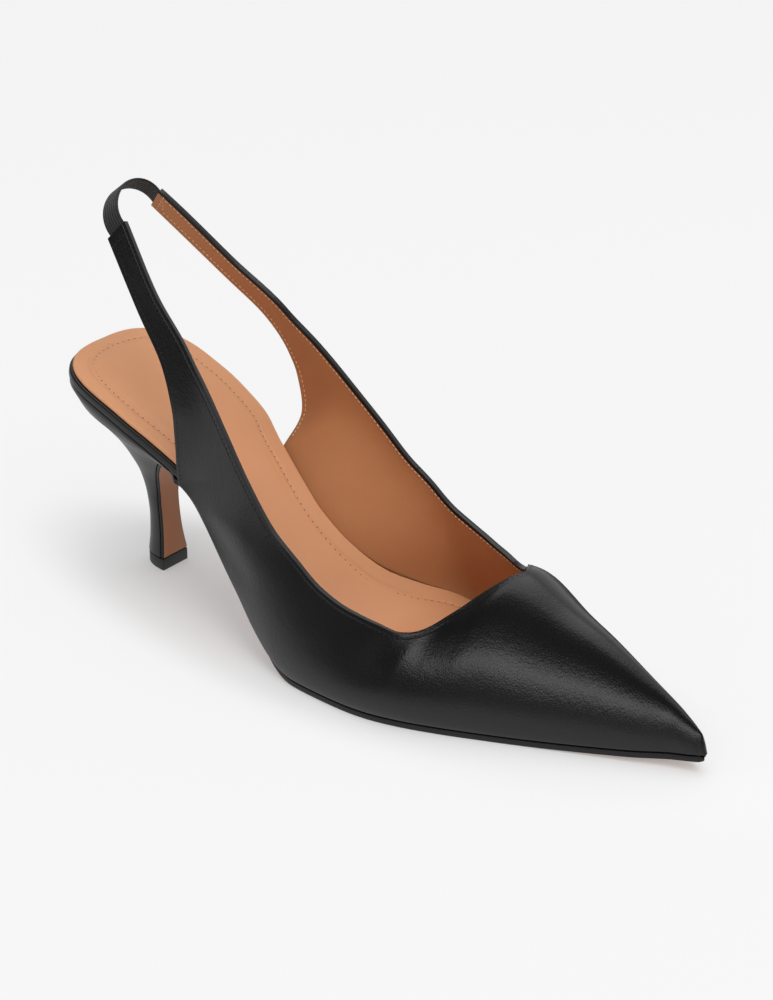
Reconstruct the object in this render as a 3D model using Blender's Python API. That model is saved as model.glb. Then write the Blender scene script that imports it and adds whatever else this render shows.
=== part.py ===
# Slingback pump: a pointed right shoe on a slender covered heel.
# X runs from the heel to the toe, Y to the wearer's left (the inner side of the foot), Z up.
# The origin is the middle of the heel's tread, on the floor.

import math

import bpy
import numpy as np

# Driving sizes, in metres
LENGTH = 0.248          # first to last station of the tables
BALL_WIDTH = 0.077      # across the sole at the ball, upper included
SEAT_RISE = 0.072       # the sock at the back of the seat above the sock at the ball
INSTEP_RISE = 0.044     # the peak of the vamp above the sock
STRAP_RISE = 0.0553     # the top corner of a strap's end above the sock
STRAP_WIDTH = 0.0095    # across a slingback strap
TOE_SPRING = 0.004      # the toe's tip above the floor
WALL = 0.0016           # upper leather and lining together
SOLE = 0.0022           # outsole
FLAP = 0.0012           # outsole where it is skived to cover the breast of the heel
BOARD = 0.0020          # insole board under the forefoot
RIM = 0.0030            # wrapped insole at the seat
SOCK = 0.0012           # sock sheet
ELASTIC_WIDTH = 0.0076
ELASTIC = 0.0012        # thickness of the elastic band
GAP = 0.0003            # between pieces that touch
FOOT_GAP = 0.0007       # cement line between the upper's foot and the outsole
SOCK_MARGIN = 0.0008    # the wrapped rim that shows round the sock
SOLE_MARGIN = 0.0004    # the outsole's edge inside the upper's
WAIST_MARGIN = 0.0026   # the same at the waist
NOSE = 0.0085           # length of the rounding at the toe's tip
SEAT_ROUND = 0.027      # length of the rounding at the back of the seat
SEAT_REACH = 0.0018     # how far the seat's back stands behind the first station
TOE_REACH = 0.0020      # how far the toe's tip stands before the last station
SEAT_SQUARENESS = 2.9   # 2 is an ellipse
TIP_STRETCH = 2.2       # how much further a pointed tip moves than its sides
TREAD_SKEW = 0.30       # the ball's bend runs back towards the outer side

# Places along the sole, as shares of LENGTH
THINNING = (0.30, 0.45)    # the insole thins from the seat's rim to the forefoot's board
SKEW_GROWS = (0.24, 0.40)  # the slant of the ball's bend begins and is full
SKEW_FADES = (0.65, 0.80)  # the slant fades towards the toe
WAIST_END = (0.40, 0.52)   # the outsole widens from the waist to the ball
WAIST_START = 0.268        # the outsole leaves the insole for the breast behind this station
SEAT_WIDEST = 0.14

HALF = BALL_WIDTH / 2
FEATHER = WALL + GAP
HEEL_MIDDLE = 0.100 * LENGTH   # centre of the heel's tread, from the back of the seat

LATERAL = -1
MEDIAL = 1

# Height of the sock: station along LENGTH, share of SEAT_RISE, share of TOE_SPRING
BED = (
    (-0.012, 1.009, 0.00),
    (0.000, 1.000, 0.00),
    (0.040, 0.966, 0.00),
    (0.081, 0.925, 0.00),
    (0.121, 0.876, 0.00),
    (0.161, 0.820, 0.00),
    (0.202, 0.758, 0.00),
    (0.242, 0.694, 0.00),
    (0.282, 0.622, 0.00),
    (0.323, 0.514, 0.00),
    (0.363, 0.392, 0.00),
    (0.403, 0.262, 0.00),
    (0.444, 0.118, 0.00),
    (0.484, 0.030, 0.00),
    (0.520, 0.000, 0.00),
    (0.660, 0.000, 0.00),
    (0.750, 0.000, 0.00),
    (0.830, 0.000, 0.10),
    (0.900, 0.000, 0.36),
    (0.950, 0.000, 0.65),
    (1.000, 0.000, 1.00),
)

# Edge of the insole: station along LENGTH, shares of half the ball width to each side
OUTLINE = (
    (0.000, 0.660, 0.660),
    (0.100, 0.682, 0.682),
    (0.140, 0.684, 0.682),
    (0.180, 0.668, 0.658),
    (0.222, 0.657, 0.605),
    (0.270, 0.665, 0.457),
    (0.323, 0.704, 0.343),
    (0.363, 0.755, 0.294),
    (0.403, 0.815, 0.322),
    (0.444, 0.880, 0.450),
    (0.484, 0.925, 0.690),
    (0.520, 0.942, 0.893),
    (0.557, 0.948, 0.953),
    (0.600, 0.925, 0.930),
    (0.640, 0.860, 0.882),
    (0.690, 0.740, 0.790),
    (0.754, 0.556, 0.660),
    (0.806, 0.402, 0.520),
    (0.865, 0.230, 0.385),
    (0.920, 0.075, 0.268),
    (0.968, -0.068, 0.190),
    (1.000, -0.110, 0.150),
)

# Middle of the sole towards the tip: station, share of half the ball width to the inner side
MIDDLE = (
    (0.000, 0.00),
    (0.600, 0.00),
    (0.740, 0.02),
    (0.855, 0.08),
    (0.911, 0.105),
    (0.968, 0.13),
    (1.000, 0.13),
)

# Topline of the upper, from a strap's end to the vamp's peak: station, spread as a share of
# half the ball width, height above the sock as shares of STRAP_RISE and INSTEP_RISE, lean to
# the inner side as a share of half the ball width
TOPLINE = (
    (0.061, 0.276, 1.048, 0.000, 0.146),
    (0.081, 0.325, 1.000, 0.000, 0.143),
    (0.161, 0.509, 0.828, 0.000, 0.120),
    (0.242, 0.640, 0.725, 0.000, 0.104),
    (0.323, 0.779, 0.500, 0.178, 0.068),
    (0.403, 0.888, 0.250, 0.480, 0.026),
    (0.484, 0.927, 0.060, 0.762, 0.000),
    (0.565, 0.909, 0.000, 0.668, 0.000),
    (0.605, 0.855, 0.000, 0.615, 0.000),
    (0.637, 0.800, 0.000, 0.590, 0.000),
    (0.665, 0.672, 0.000, 0.648, 0.000),
    (0.685, 0.500, 0.000, 0.745, 0.000),
    (0.710, 0.273, 0.000, 0.898, 0.005),
    (0.726, 0.130, 0.000, 0.975, 0.010),
    (0.736, 0.000, 0.000, 1.030, 0.013),
)
PEAK = 0.736

# Crest of the vamp: station, height above the sock as a share of INSTEP_RISE
CREST = (
    (0.736, 1.030),
    (0.794, 0.822),
    (0.855, 0.655),
    (0.911, 0.450),
    (0.952, 0.290),
    (0.980, 0.170),
    (0.998, 0.090),
)

# Free rear edge of a strap and quarter, seen from its topline station: steps back and down as
# shares of STRAP_WIDTH, spread as a share of half the ball width, and the same two on the
# outer side, where the quarter reaches further back
REAR_EDGE = (
    (0.061, 0.65, 0.76, 0.328, 0.00, 0.000),
    (0.081, 0.65, 0.76, 0.377, 0.00, 0.000),
    (0.161, 0.65, 0.76, 0.560, 0.00, 0.000),
    (0.226, 0.74, 0.92, 0.690, 0.00, 0.000),
    (0.266, 0.90, 1.38, 0.775, 0.02, 0.005),
    (0.298, 1.30, 1.60, 0.775, 0.24, 0.022),
    (0.331, 1.86, 2.15, 0.730, 0.52, 0.045),
)
OUTER_END = 0.079      # topline stations of the two straps' ends
INNER_END = 0.061

# Rows of the upper from its topline to the sole: topline station, sole station on the outer and
# inner side, the angle in degrees that the wall leaves the sole outwards on each side, and how
# much of the row is an arc over the vamp
FAN = (
    (0.363, 0.247, 0.270, 8.0, 34.0, 0.00),
    (0.403, 0.310, 0.323, 16.0, 52.0, 0.00),
    (0.452, 0.382, 0.387, 22.0, 60.0, 0.00),
    (0.508, 0.463, 0.464, 21.0, 44.0, 0.00),
    (0.565, 0.540, 0.540, 19.0, 20.0, 0.10),
    (0.617, 0.601, 0.601, 18.0, 18.0, 0.55),
    (0.665, 0.653, 0.653, 18.0, 18.0, 1.00),
    (0.702, 0.694, 0.694, 18.0, 18.0, 1.00),
    (0.736, 0.730, 0.730, 18.0, 18.0, 1.00),
    (0.794, 0.794, 0.794, 18.0, 18.0, 1.00),
    (0.855, 0.858, 0.858, 17.0, 17.0, 1.00),
    (0.911, 0.918, 0.918, 15.0, 15.0, 1.00),
    (0.952, 0.962, 0.962, 12.0, 12.0, 1.00),
    (0.980, 0.987, 0.987, 9.0, 9.0, 1.00),
    (0.998, 1.000, 1.000, 9.0, 9.0, 1.00),
)

# Rings of the heel from its tip to the seat: back and breast as shares of LENGTH and of
# SEAT_RISE above the floor, half width as a share of half the ball width, and how much of the
# seat's outline the ring has
HEEL = (
    (0.0785, 0.067, 0.1175, 0.067, 0.160, 0.00),
    (0.0812, 0.150, 0.1150, 0.150, 0.136, 0.00),
    (0.0818, 0.250, 0.1125, 0.250, 0.122, 0.00),
    (0.0775, 0.360, 0.1105, 0.368, 0.121, 0.00),
    (0.0670, 0.472, 0.1140, 0.472, 0.152, 0.00),
    (0.0515, 0.562, 0.1250, 0.562, 0.220, 0.12),
    (0.0365, 0.642, 0.1440, 0.642, 0.300, 0.35),
    (0.0240, 0.722, 0.1710, 0.692, 0.398, 0.62),
    (0.0110, 0.832, 0.1990, 0.710, 0.520, 0.86),
    (-0.002, 0.930, 0.2200, 0.712, 0.620, 1.00),
)


def smooth(table, at):
    """All columns of a table at one value of its first column, as a smooth curve."""
    rows = np.array(table)
    keys = rows[:, 0]
    at = min(max(at, keys[0]), keys[-1])
    slopes = np.gradient(rows, keys, axis=0)
    # A stretch that is level stays level, and no curve overshoots its own rows
    rises = np.diff(rows, axis=0) / np.diff(keys)[:, None]
    turning = rises[1:] * rises[:-1] <= 0
    slopes[1:-1][turning] = 0
    i = min(max(int(np.searchsorted(keys, at)) - 1, 0), len(keys) - 2)
    step = keys[i + 1] - keys[i]
    t = (at - keys[i]) / step
    value = (rows[i] * (1 + 2 * t) * (1 - t) ** 2 + rows[i + 1] * t * t * (3 - 2 * t)
             + step * (slopes[i] * t * (1 - t) ** 2 - slopes[i + 1] * t * t * (1 - t)))
    return value


def mix(a, b, share):
    return a + (b - a) * share


def ease(share):
    share = min(max(share, 0.0), 1.0)
    return share * share * (3 - 2 * share)


def between(span, station):
    """0 before a stretch of the sole, 1 after it."""
    first, last = span
    return ease((station / LENGTH - first) / (last - first))


# The sole's own surface, from the sock's top downwards
def insole_thickness(station):
    return mix(RIM, BOARD, between(THINNING, station))


def board_depth(station):
    """Depth of the insole's underside below the sock's top."""
    return SOCK + GAP + insole_thickness(station)


STACK = SOCK + GAP + BOARD + GAP + SOLE


def bed(x):
    _, rise, spring = smooth(BED, x / LENGTH)
    return STACK + rise * SEAT_RISE + spring * TOE_SPRING


def tread_skew(station):
    return TREAD_SKEW * between(SKEW_GROWS, station) * (1 - between(SKEW_FADES, station))


SLOPE_STEP = 0.0005    # over which a curve's slope is taken


def sole_point(station, across, depth):
    """A point below the sock's top; its rows run slantwise over the ball."""
    slope = (bed(station + SLOPE_STEP) - bed(station - SLOPE_STEP)) / (2 * SLOPE_STEP)
    size = math.hypot(1, slope)
    x = station + depth * slope / size + tread_skew(station) * across
    z = bed(station) - depth / size
    return np.array((x, across, z))


def edge(x, side, grow):
    """Distance of the sole's edge from the middle plane, grown outwards by grow."""
    column = 1 if side == LATERAL else 2
    here = smooth(OUTLINE, x / LENGTH)[column]
    ahead = smooth(OUTLINE, (x + SLOPE_STEP) / LENGTH)[column]
    slope = (ahead - here) * HALF / SLOPE_STEP
    wide = here * HALF + grow * math.hypot(1, slope)
    middle = side * smooth(MIDDLE, x / LENGTH)[1] * HALF
    tip = toe_tip(grow)
    nose = min(max((x - tip + NOSE) / NOSE, 0), 1)
    seat = min(max((SEAT_ROUND - SEAT_REACH - grow - x) / SEAT_ROUND, 0), 1)
    rounding = math.sqrt(1 - nose ** 2) * (1 - seat ** SEAT_SQUARENESS) ** (1 / SEAT_SQUARENESS)
    return middle + (wide - middle) * rounding


def toe_tip(grow):
    return LENGTH + TOE_REACH - (FEATHER - grow) * TIP_STRETCH


def seat_back(grow):
    return -SEAT_REACH - grow


EDGE_TRIES = 8    # steps in finding the edge on a slanting row


def edge_point(station, side, depth, grow):
    across = 0
    for _ in range(EDGE_TRIES):
        across = side * edge(station + tread_skew(station) * across, side, grow)
    return sole_point(station, across, depth)


# Meshes
SHARP = 40             # degrees past which an edge is a corner
LAYER_ROWS = 52        # rows of a sole layer from the seat to the toe
END_SKIP = 0.00004     # the first and last rows keep a small width


def to_frame(points):
    """Points with X measured from the back of the seat, moved to the part's own frame."""
    return [(p[0] - HEEL_MIDDLE, p[1], p[2]) for p in points]


def add_piece(name, points, faces, material):
    mesh = bpy.data.meshes.new(name)
    mesh.from_pydata(to_frame(points), [], faces)
    mesh.validate()
    mesh.materials.append(material)
    mesh.shade_smooth()
    mesh.set_sharp_from_angle(angle=math.radians(SHARP))
    piece = bpy.data.objects.new(name, mesh)
    bpy.context.scene.collection.objects.link(piece)
    return piece


def material(name, colour, roughness):
    """A plain material of that colour."""
    made = bpy.data.materials.new(name)
    made.use_nodes = True
    shader = made.node_tree.nodes["Principled BSDF"]
    shader.inputs["Base Color"].default_value = (*colour, 1)
    shader.inputs["Roughness"].default_value = roughness
    shader.inputs["Metallic"].default_value = 0
    return made


def ribbon(name, rows, made):
    """A closed strip from rows of four corners: top outer side, top inner side, and below."""
    points = [corner for row in rows for corner in row]
    faces = []
    for i in range(len(rows) - 1):
        a, b = 4 * i, 4 * i + 4
        for j in range(4):
            k = (j + 1) % 4
            faces.append((a + j, a + k, b + k, b + j))
    last = 4 * (len(rows) - 1)
    faces.append((3, 2, 1, 0))
    faces.append((last, last + 1, last + 2, last + 3))
    return add_piece(name, points, faces, made)


def layer_stations(back, front, count):
    """Stations from back to front, closer together at both round ends."""
    turns = (math.pi * i / (count - 1) for i in range(count))
    return [mix(back, front, (1 - math.cos(turn)) / 2) for turn in turns]


def layer_row(station, top, bottom, grow):
    return (edge_point(station, LATERAL, top, grow), edge_point(station, MEDIAL, top, grow),
            edge_point(station, MEDIAL, bottom, grow), edge_point(station, LATERAL, bottom, grow))


def build_sock(made):
    grow = -SOCK_MARGIN
    stations = layer_stations(seat_back(grow) + END_SKIP, toe_tip(grow) - END_SKIP, LAYER_ROWS)
    rows = [layer_row(s, 0, SOCK, grow) for s in stations]
    return ribbon("sock", rows[::-1], made)


def build_insole(made):
    stations = layer_stations(seat_back(0) + END_SKIP, toe_tip(0) - END_SKIP, LAYER_ROWS)
    rows = [layer_row(s, SOCK + GAP, board_depth(s), 0) for s in stations]
    return ribbon("insole", rows[::-1], made)


# Heel and the breast that the outsole's flap covers
def heel_ring(at):
    rings = [(i, *row) for i, row in enumerate(HEEL)]
    back_x, back_z, front_x, front_z, half, seat = smooth(rings, at)[1:]
    back, front = (back_x * LENGTH, back_z * SEAT_RISE), (front_x * LENGTH, front_z * SEAT_RISE)
    return *back, *front, half * HALF, seat


HEEL_SIDES = 11
HEEL_RINGS = 19
SEAT_END = HEEL[-1][2] * LENGTH      # the heel's seat ends here, over the waist
HEEL_INSET = 0.0005                  # the heel's cover inside the rim
FLANGE = 0.0020                      # upright edge of the heel's seat at the back
FLANGE_FRONT = 0.0007


def seat_share(turn):
    """Share of the way from the breast to the back, at a turn round the ring."""
    return math.sin(turn)


def heel_section(at):
    """One ring: from the breast's outer corner round the back to its inner corner."""
    back_x, back_z, front_x, front_z, half, seat = heel_ring(at)
    ring = []
    for side in (LATERAL, MEDIAL):
        for i in range(HEEL_SIDES):
            turn = math.pi / 2 * i / (HEEL_SIDES - 1)
            reach = seat_share(turn)
            station = mix(SEAT_END, seat_back(-HEEL_INSET) + END_SKIP, reach)
            widest = edge(SEAT_WIDEST * LENGTH, side, -HEEL_INSET)
            seat_wide = edge(station, side, -HEEL_INSET) / widest
            wide = half * mix(math.cos(turn), seat_wide, seat)
            if reach == 1:
                wide = 0
            ring.append((mix(front_x, back_x, reach), side * wide, mix(front_z, back_z, reach)))
    outer, inner = ring[:HEEL_SIDES], ring[HEEL_SIDES:]
    return outer + inner[-2::-1]


def seat_section(drop_back, drop_front):
    """The heel's rings under the insole's rim, on the sole's own surface."""
    ring = []
    for side in (LATERAL, MEDIAL):
        for i in range(HEEL_SIDES):
            turn = math.pi / 2 * i / (HEEL_SIDES - 1)
            reach = seat_share(turn)
            station = mix(SEAT_END, seat_back(-HEEL_INSET) + END_SKIP, reach)
            depth = board_depth(station) + GAP + mix(drop_front, drop_back, reach)
            point = edge_point(station, side, depth, -HEEL_INSET)
            if reach == 1:
                point[1] = 0
            ring.append(tuple(point))
    outer, inner = ring[:HEEL_SIDES], ring[HEEL_SIDES:]
    return outer + inner[-2::-1]


def ladder(first, count):
    """Faces that close a ring whose points face each other in pairs."""
    faces = []
    for i in range(count // 2):
        a, b = first + i, first + i + 1
        c, d = first + count - 2 - i, first + count - 1 - i
        if b == c:
            faces.append((a, b, d))
        else:
            faces.append((a, b, c, d))
    return faces


def build_heel(made):
    last = len(HEEL) - 1
    rings = [heel_section(last * i / (HEEL_RINGS - 1)) for i in range(HEEL_RINGS)]
    rings.append(seat_section(FLANGE, FLANGE_FRONT))
    rings.append(seat_section(0, 0))
    count = len(rings[0])
    points = [point for ring in rings for point in ring]
    faces = []
    for i in range(len(rings) - 1):
        for j in range(count):
            k = (j + 1) % count
            a, b = i * count, (i + 1) * count
            faces.append((a + j, b + j, b + k, a + k))
    faces += ladder(0, count)
    faces += [face[::-1] for face in ladder((len(rings) - 1) * count, count)]
    return add_piece("heel", points, faces, made)


def build_top_piece(made):
    """The wearing piece: the heel's lowest ring, grown a little, down to the floor."""
    back_x, _, front_x, _, half, _ = heel_ring(0)
    front_x = front_x + GAP + FLAP
    outline = []
    for i in range(2 * HEEL_SIDES - 1):
        turn = math.pi / 2 * i / (HEEL_SIDES - 1)
        outline.append((mix(front_x, back_x, math.sin(turn)), -half * math.cos(turn)))
    count = len(outline)
    top = heel_ring(0)[1] - GAP
    points = [(x, y, z) for z in (0, top) for x, y in outline]
    faces = [(j, count + j, count + (j + 1) % count, (j + 1) % count) for j in range(count)]
    faces += [tuple(range(count)), tuple(reversed(range(count, 2 * count)))]
    return add_piece("top_piece", points, faces, made)


# Outsole: forepart, waist and the flap down the breast of the heel
FLAP_ROWS = 26
SOLE_ROWS = 40
SOLE_GATHER = 1.7    # how much closer the rows stand towards the toe


def flap_path():
    """The flap's covered face from the heel's tip to the waist: x, z and half width."""
    last = len(HEEL) - 1
    path = []
    for i in range(FLAP_ROWS):
        _, _, x, z, half, _ = heel_ring(last * i / (FLAP_ROWS - 1))
        path.append((x, z, half))
    return path


def build_outsole(made):
    path = flap_path()
    rows = []
    for i, (x, z, half) in enumerate(path):
        before = path[max(i - 1, 0)]
        after = path[min(i + 1, len(path) - 1)]
        along = np.array((after[0] - before[0], after[1] - before[1]))
        along /= np.linalg.norm(along)
        out = np.array((along[1], -along[0]))
        thick = mix(FLAP, SOLE, ease(i / (len(path) - 1) * 2 - 1))
        covered = np.array((x, z)) + out * GAP
        shown = covered + out * thick
        corners = ((covered, -half), (covered, half), (shown, half), (shown, -half))
        rows.append([np.array((p[0], y, p[1])) for p, y in corners])
    tip = toe_tip(FEATHER - SOLE_MARGIN) - END_SKIP
    start = WAIST_START * LENGTH
    for i in range(SOLE_ROWS):
        left = (1 - i / (SOLE_ROWS - 1)) ** SOLE_GATHER
        station = mix(tip, start, left)
        grow = mix(-WAIST_MARGIN, FEATHER - SOLE_MARGIN, between(WAIST_END, station))
        top = board_depth(station) + GAP
        rows.append(layer_row(station, top, top + SOLE, grow))
    return ribbon("outsole", rows[::-1], made)


# Upper
UPPER_COLUMNS = 9
SPLITS = 3               # rows of the mesh between two rows of the tables
FLAT_KEYS = 2            # rows of the rear edge along which a strap stays flat
WALL_DROP = 86           # degrees that a quarter falls from its topline
WALL_TOP_REACH = 0.34    # pull of the topline and of the foot on a quarter's curve
WALL_FOOT_REACH = 0.22
CREST_DROP = 3           # degrees that the vamp falls sideways from its crest
CREST_REACH = 0.62       # pull of the crest and of the foot on the vamp's curve
FOOT_REACH = 0.33
ARC_TRIES = 30           # steps in finding where the topline cuts a vamp's arc
ARC_STEP = 0.8
FAN_SMOOTHING = 0.32    # reach of the smoothing over the vamp, in steps of the fan


def topline(share, side):
    _, spread, strap, instep, lean = smooth(TOPLINE, share)
    z = bed(share * LENGTH) + strap * STRAP_RISE + instep * INSTEP_RISE
    return np.array((share * LENGTH, (side * spread + lean) * HALF, z))


def crest(share):
    height = smooth(CREST, share)[1]
    across = smooth(MIDDLE, share)[1] * HALF
    return np.array((share * LENGTH, across, bed(share * LENGTH) + height * INSTEP_RISE))


def top_point(share, side):
    return topline(share, side) if share < PEAK else crest(share)


def rear_edge_point(row, side):
    share, back, down, spread, outer_back, outer_spread = row
    top = topline(share, side)
    lean = smooth(TOPLINE, share)[4]
    if side == LATERAL:
        back += outer_back
        spread += outer_spread
    return np.array((top[0] - back * STRAP_WIDTH, (side * spread + lean) * HALF,
                     top[2] - down * STRAP_WIDTH))


def feather_point(share, side):
    station = share * (toe_tip(FEATHER) - END_SKIP)
    return edge_point(station, side, board_depth(station) + GAP - FOOT_GAP, FEATHER)


def bezier(controls, t):
    a, b, c, d = controls
    return a * (1 - t) ** 3 + 3 * b * t * (1 - t) ** 2 + 3 * c * t * t * (1 - t) + d * t ** 3


def row_points(controls, start=0.0):
    """Points along a cubic curve, from a place on it to its end."""
    turns = (mix(start, 1.0, i / (UPPER_COLUMNS - 1)) for i in range(UPPER_COLUMNS))
    return [bezier(controls, t) for t in turns]


def wall_row(top, foot, side, flare):
    """Points down a quarter, from its steep topline to the foot."""
    chord = foot - top
    long = np.linalg.norm(chord)
    flare = math.radians(flare)
    drop = math.radians(WALL_DROP)
    top_way = np.array((0, side * math.cos(drop), -math.sin(drop))) * WALL_TOP_REACH
    foot_way = np.array((0, side * math.sin(flare), math.cos(flare))) * WALL_FOOT_REACH
    third = np.array((chord[0] / 3, 0, 0))
    return row_points((top, top + third + top_way * long, foot - third + foot_way * long, foot))


def vault(rise, foot, side, flare, middle):
    """Across and height controls of an arc over the vamp, from its own crest to the foot."""
    flare = math.radians(flare)
    drop = math.radians(CREST_DROP)
    reach = CREST_REACH * abs(foot[1] - middle)
    low_reach = FOOT_REACH * abs(foot[2] - rise)
    ys = (middle, middle + side * math.cos(drop) * reach,
          foot[1] + side * math.sin(flare) * low_reach, foot[1])
    zs = (rise, rise - math.sin(drop) * reach, foot[2] + math.cos(flare) * low_reach, foot[2])
    return ys, zs


def cut_at(ys, across, side):
    """Place on an arc where the topline or the crest cuts it."""
    cut, beyond = 0.0, 1.0
    for _ in range(ARC_TRIES):
        half_way = (cut + beyond) / 2
        if side * (bezier(ys, half_way) - across) < 0:
            cut = half_way
        else:
            beyond = half_way
    return cut


def vault_rise(top, foot, side, flare, middle):
    """Height of the crest of the arc that passes through the topline."""
    rise = top[2]
    for _ in range(ARC_TRIES):
        ys, zs = vault(rise, foot, side, flare, middle)
        rise += (top[2] - bezier(zs, cut_at(ys, top[1], side))) * ARC_STEP
    return rise


def smoothed(values):
    """Heights along the fan, each drawn towards its neighbours."""
    for _ in range(round(2 * (FAN_SMOOTHING * SPLITS) ** 2)):
        inside = [(a + 2 * b + c) / 4 for a, b, c in zip(values, values[1:], values[2:])]
        values = [values[0], *inside, values[-1]]
    return values


def vamp_row(top, foot, side, flare, middle, rise):
    """Points down an arc over the whole vamp, from where the topline or the crest cuts it."""
    ys, zs = vault(rise, foot, side, flare, middle)
    cut = cut_at(ys, top[1], side)
    ways = zip(row_points(ys, cut), row_points(zs, cut))
    return [np.array((mix(top[0], foot[0], i / (UPPER_COLUMNS - 1)), y, z))
            for i, (y, z) in enumerate(ways)]


def straight(top, foot):
    """A strap's row, flat across the strap."""
    return row_points((top, mix(top, foot, 1 / 3), mix(top, foot, 2 / 3), foot))


def blended(row, other, share):
    return [mix(a, b, share) for a, b in zip(row, other)]


def half_upper(side):
    """Rows of one side, from the strap's end to the tip of the toe."""
    outer = side == LATERAL
    end = OUTER_END if outer else INNER_END
    fan = [(j, row[0], row[1] if outer else row[2], row[3] if outer else row[4], row[5])
           for j, row in enumerate(FAN)]
    corner_top, corner_foot, corner_flare = fan[0][1:4]
    keys = [(end, *rear_edge_point(smooth(REAR_EDGE, end), side))]
    keys += [(row[0], *rear_edge_point(row, side)) for row in REAR_EDGE[2:]]
    keys.append((corner_top, *feather_point(corner_foot, side)))
    keys = [(j, *key) for j, key in enumerate(keys)]
    rows = []
    last = len(keys) - 1
    for i in range(last * SPLITS):
        place = i / SPLITS
        key = smooth(keys, place)
        top, foot = topline(key[1], side), key[2:]
        bent = wall_row(top, foot, side, corner_flare)
        rows.append(blended(straight(top, foot), bent, ease((place - FLAT_KEYS) / (last - FLAT_KEYS))))
    arcs = []
    for i in range((len(FAN) - 1) * SPLITS + 1):
        _, top, foot, flare, vamp = smooth(fan, i / SPLITS)
        middle = smooth(MIDDLE, max(top, PEAK))[1] * HALF
        arcs.append((top_point(top, side), feather_point(foot, side), side, flare, middle, vamp))
    rises = smoothed([vault_rise(*arc[:5]) for arc in arcs])
    for (top, foot, _, flare, middle, vamp), rise in zip(arcs, rises):
        wall = wall_row(top, foot, side, flare)
        rows.append(blended(wall, vamp_row(top, foot, side, flare, middle, rise), min(vamp, 1)))
    return rows


def build_upper(made):
    outer, inner = half_upper(LATERAL), half_upper(MEDIAL)
    peak_row = next(i for i, row in enumerate(outer) if row[0][0] >= PEAK * LENGTH - 1e-6)
    last = len(outer) - 1
    points = []
    index = {}
    for side, rows in ((LATERAL, outer), (MEDIAL, inner)):
        for i, row in enumerate(rows):
            for j, point in enumerate(row):
                shared = (j == 0 and i >= peak_row) or i == last
                if shared and side == MEDIAL:
                    index[side, i, j] = index[LATERAL, i, j]
                    continue
                index[side, i, j] = len(points)
                points.append(point)
    faces = []
    for side in (LATERAL, MEDIAL):
        for i in range(last):
            for j in range(UPPER_COLUMNS - 1):
                face = [index[side, i, j], index[side, i + 1, j], index[side, i + 1, j + 1],
                        index[side, i, j + 1]]
                faces.append(face if side == MEDIAL else face[::-1])
    piece = add_piece("upper", points, faces, made)
    shell = piece.modifiers.new("wall", "SOLIDIFY")
    shell.thickness = WALL
    shell.offset = -1
    shell.use_even_offset = True
    shell.use_rim = True
    return piece


# Elastic loop behind the heel
ELASTIC_STEPS = 24
ELASTIC_REACH = 0.86    # how far the loop reaches back, against half its width


def build_elastic(made):
    """A half ring in the straps' own slanting plane, from one strap's end to the other."""
    _, back, down = REAR_EDGE[0][:3]
    tall = math.hypot(back, down)
    across = np.array((back, 0, down)) / tall
    along = np.array((-down, 0, back)) / tall
    tops = [topline(OUTER_END, LATERAL), topline(INNER_END, MEDIAL)]
    lows = [rear_edge_point(smooth(REAR_EDGE, OUTER_END), LATERAL),
            rear_edge_point(smooth(REAR_EDGE, INNER_END), MEDIAL)]
    ends = [(top + low) / 2 for top, low in zip(tops, lows)]
    middle = (ends[0] + ends[1]) / 2
    shift = (ends[1] - ends[0]) @ along / 2
    half = (ends[1] - ends[0])[1] / 2 - WALL / 2
    flare = ((lows[1] - lows[0])[1] - (tops[1] - tops[0])[1]) / 2 / (tall * STRAP_WIDTH)
    rows = []
    for i in range(ELASTIC_STEPS + 1):
        turn = math.pi * (i / ELASTIC_STEPS - 0.5)
        row = []
        for high, out in ((1, 1), (1, -1), (-1, -1), (-1, 1)):
            radius = half + out * ELASTIC / 2 - high * flare * ELASTIC_WIDTH / 2
            back_off = GAP + radius * ELASTIC_REACH * math.cos(turn) + shift * math.sin(turn)
            row.append(middle + along * back_off + across * high * ELASTIC_WIDTH / 2
                       + np.array((0, radius * math.sin(turn), 0)))
        rows.append(row)
    return ribbon("elastic", rows, made)


def main():
    for thing in list(bpy.data.objects):
        bpy.data.objects.remove(thing)
    black = material("black_leather", (0.012, 0.012, 0.013), 0.34)
    rim = material("rim_leather", (0.014, 0.014, 0.015), 0.36)
    cover = material("heel_leather", (0.013, 0.013, 0.014), 0.34)
    tan = material("sock_leather", (0.58, 0.29, 0.15), 0.55)
    sole = material("sole_leather", (0.50, 0.25, 0.13), 0.45)
    rubber = material("top_piece_rubber", (0.02, 0.02, 0.02), 0.6)
    band = material("elastic_fabric", (0.015, 0.015, 0.016), 0.8)
    build_sock(tan)
    build_insole(rim)
    build_outsole(sole)
    build_heel(cover)
    build_top_piece(rubber)
    build_upper(black)
    build_elastic(band)


main()
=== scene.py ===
# Slingback pump: a pointed right shoe in black calf on a slender covered heel, on a pale floor.
# X runs from the heel to the toe, Y to the inner side of the foot, Z up, all in metres.

import math

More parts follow.
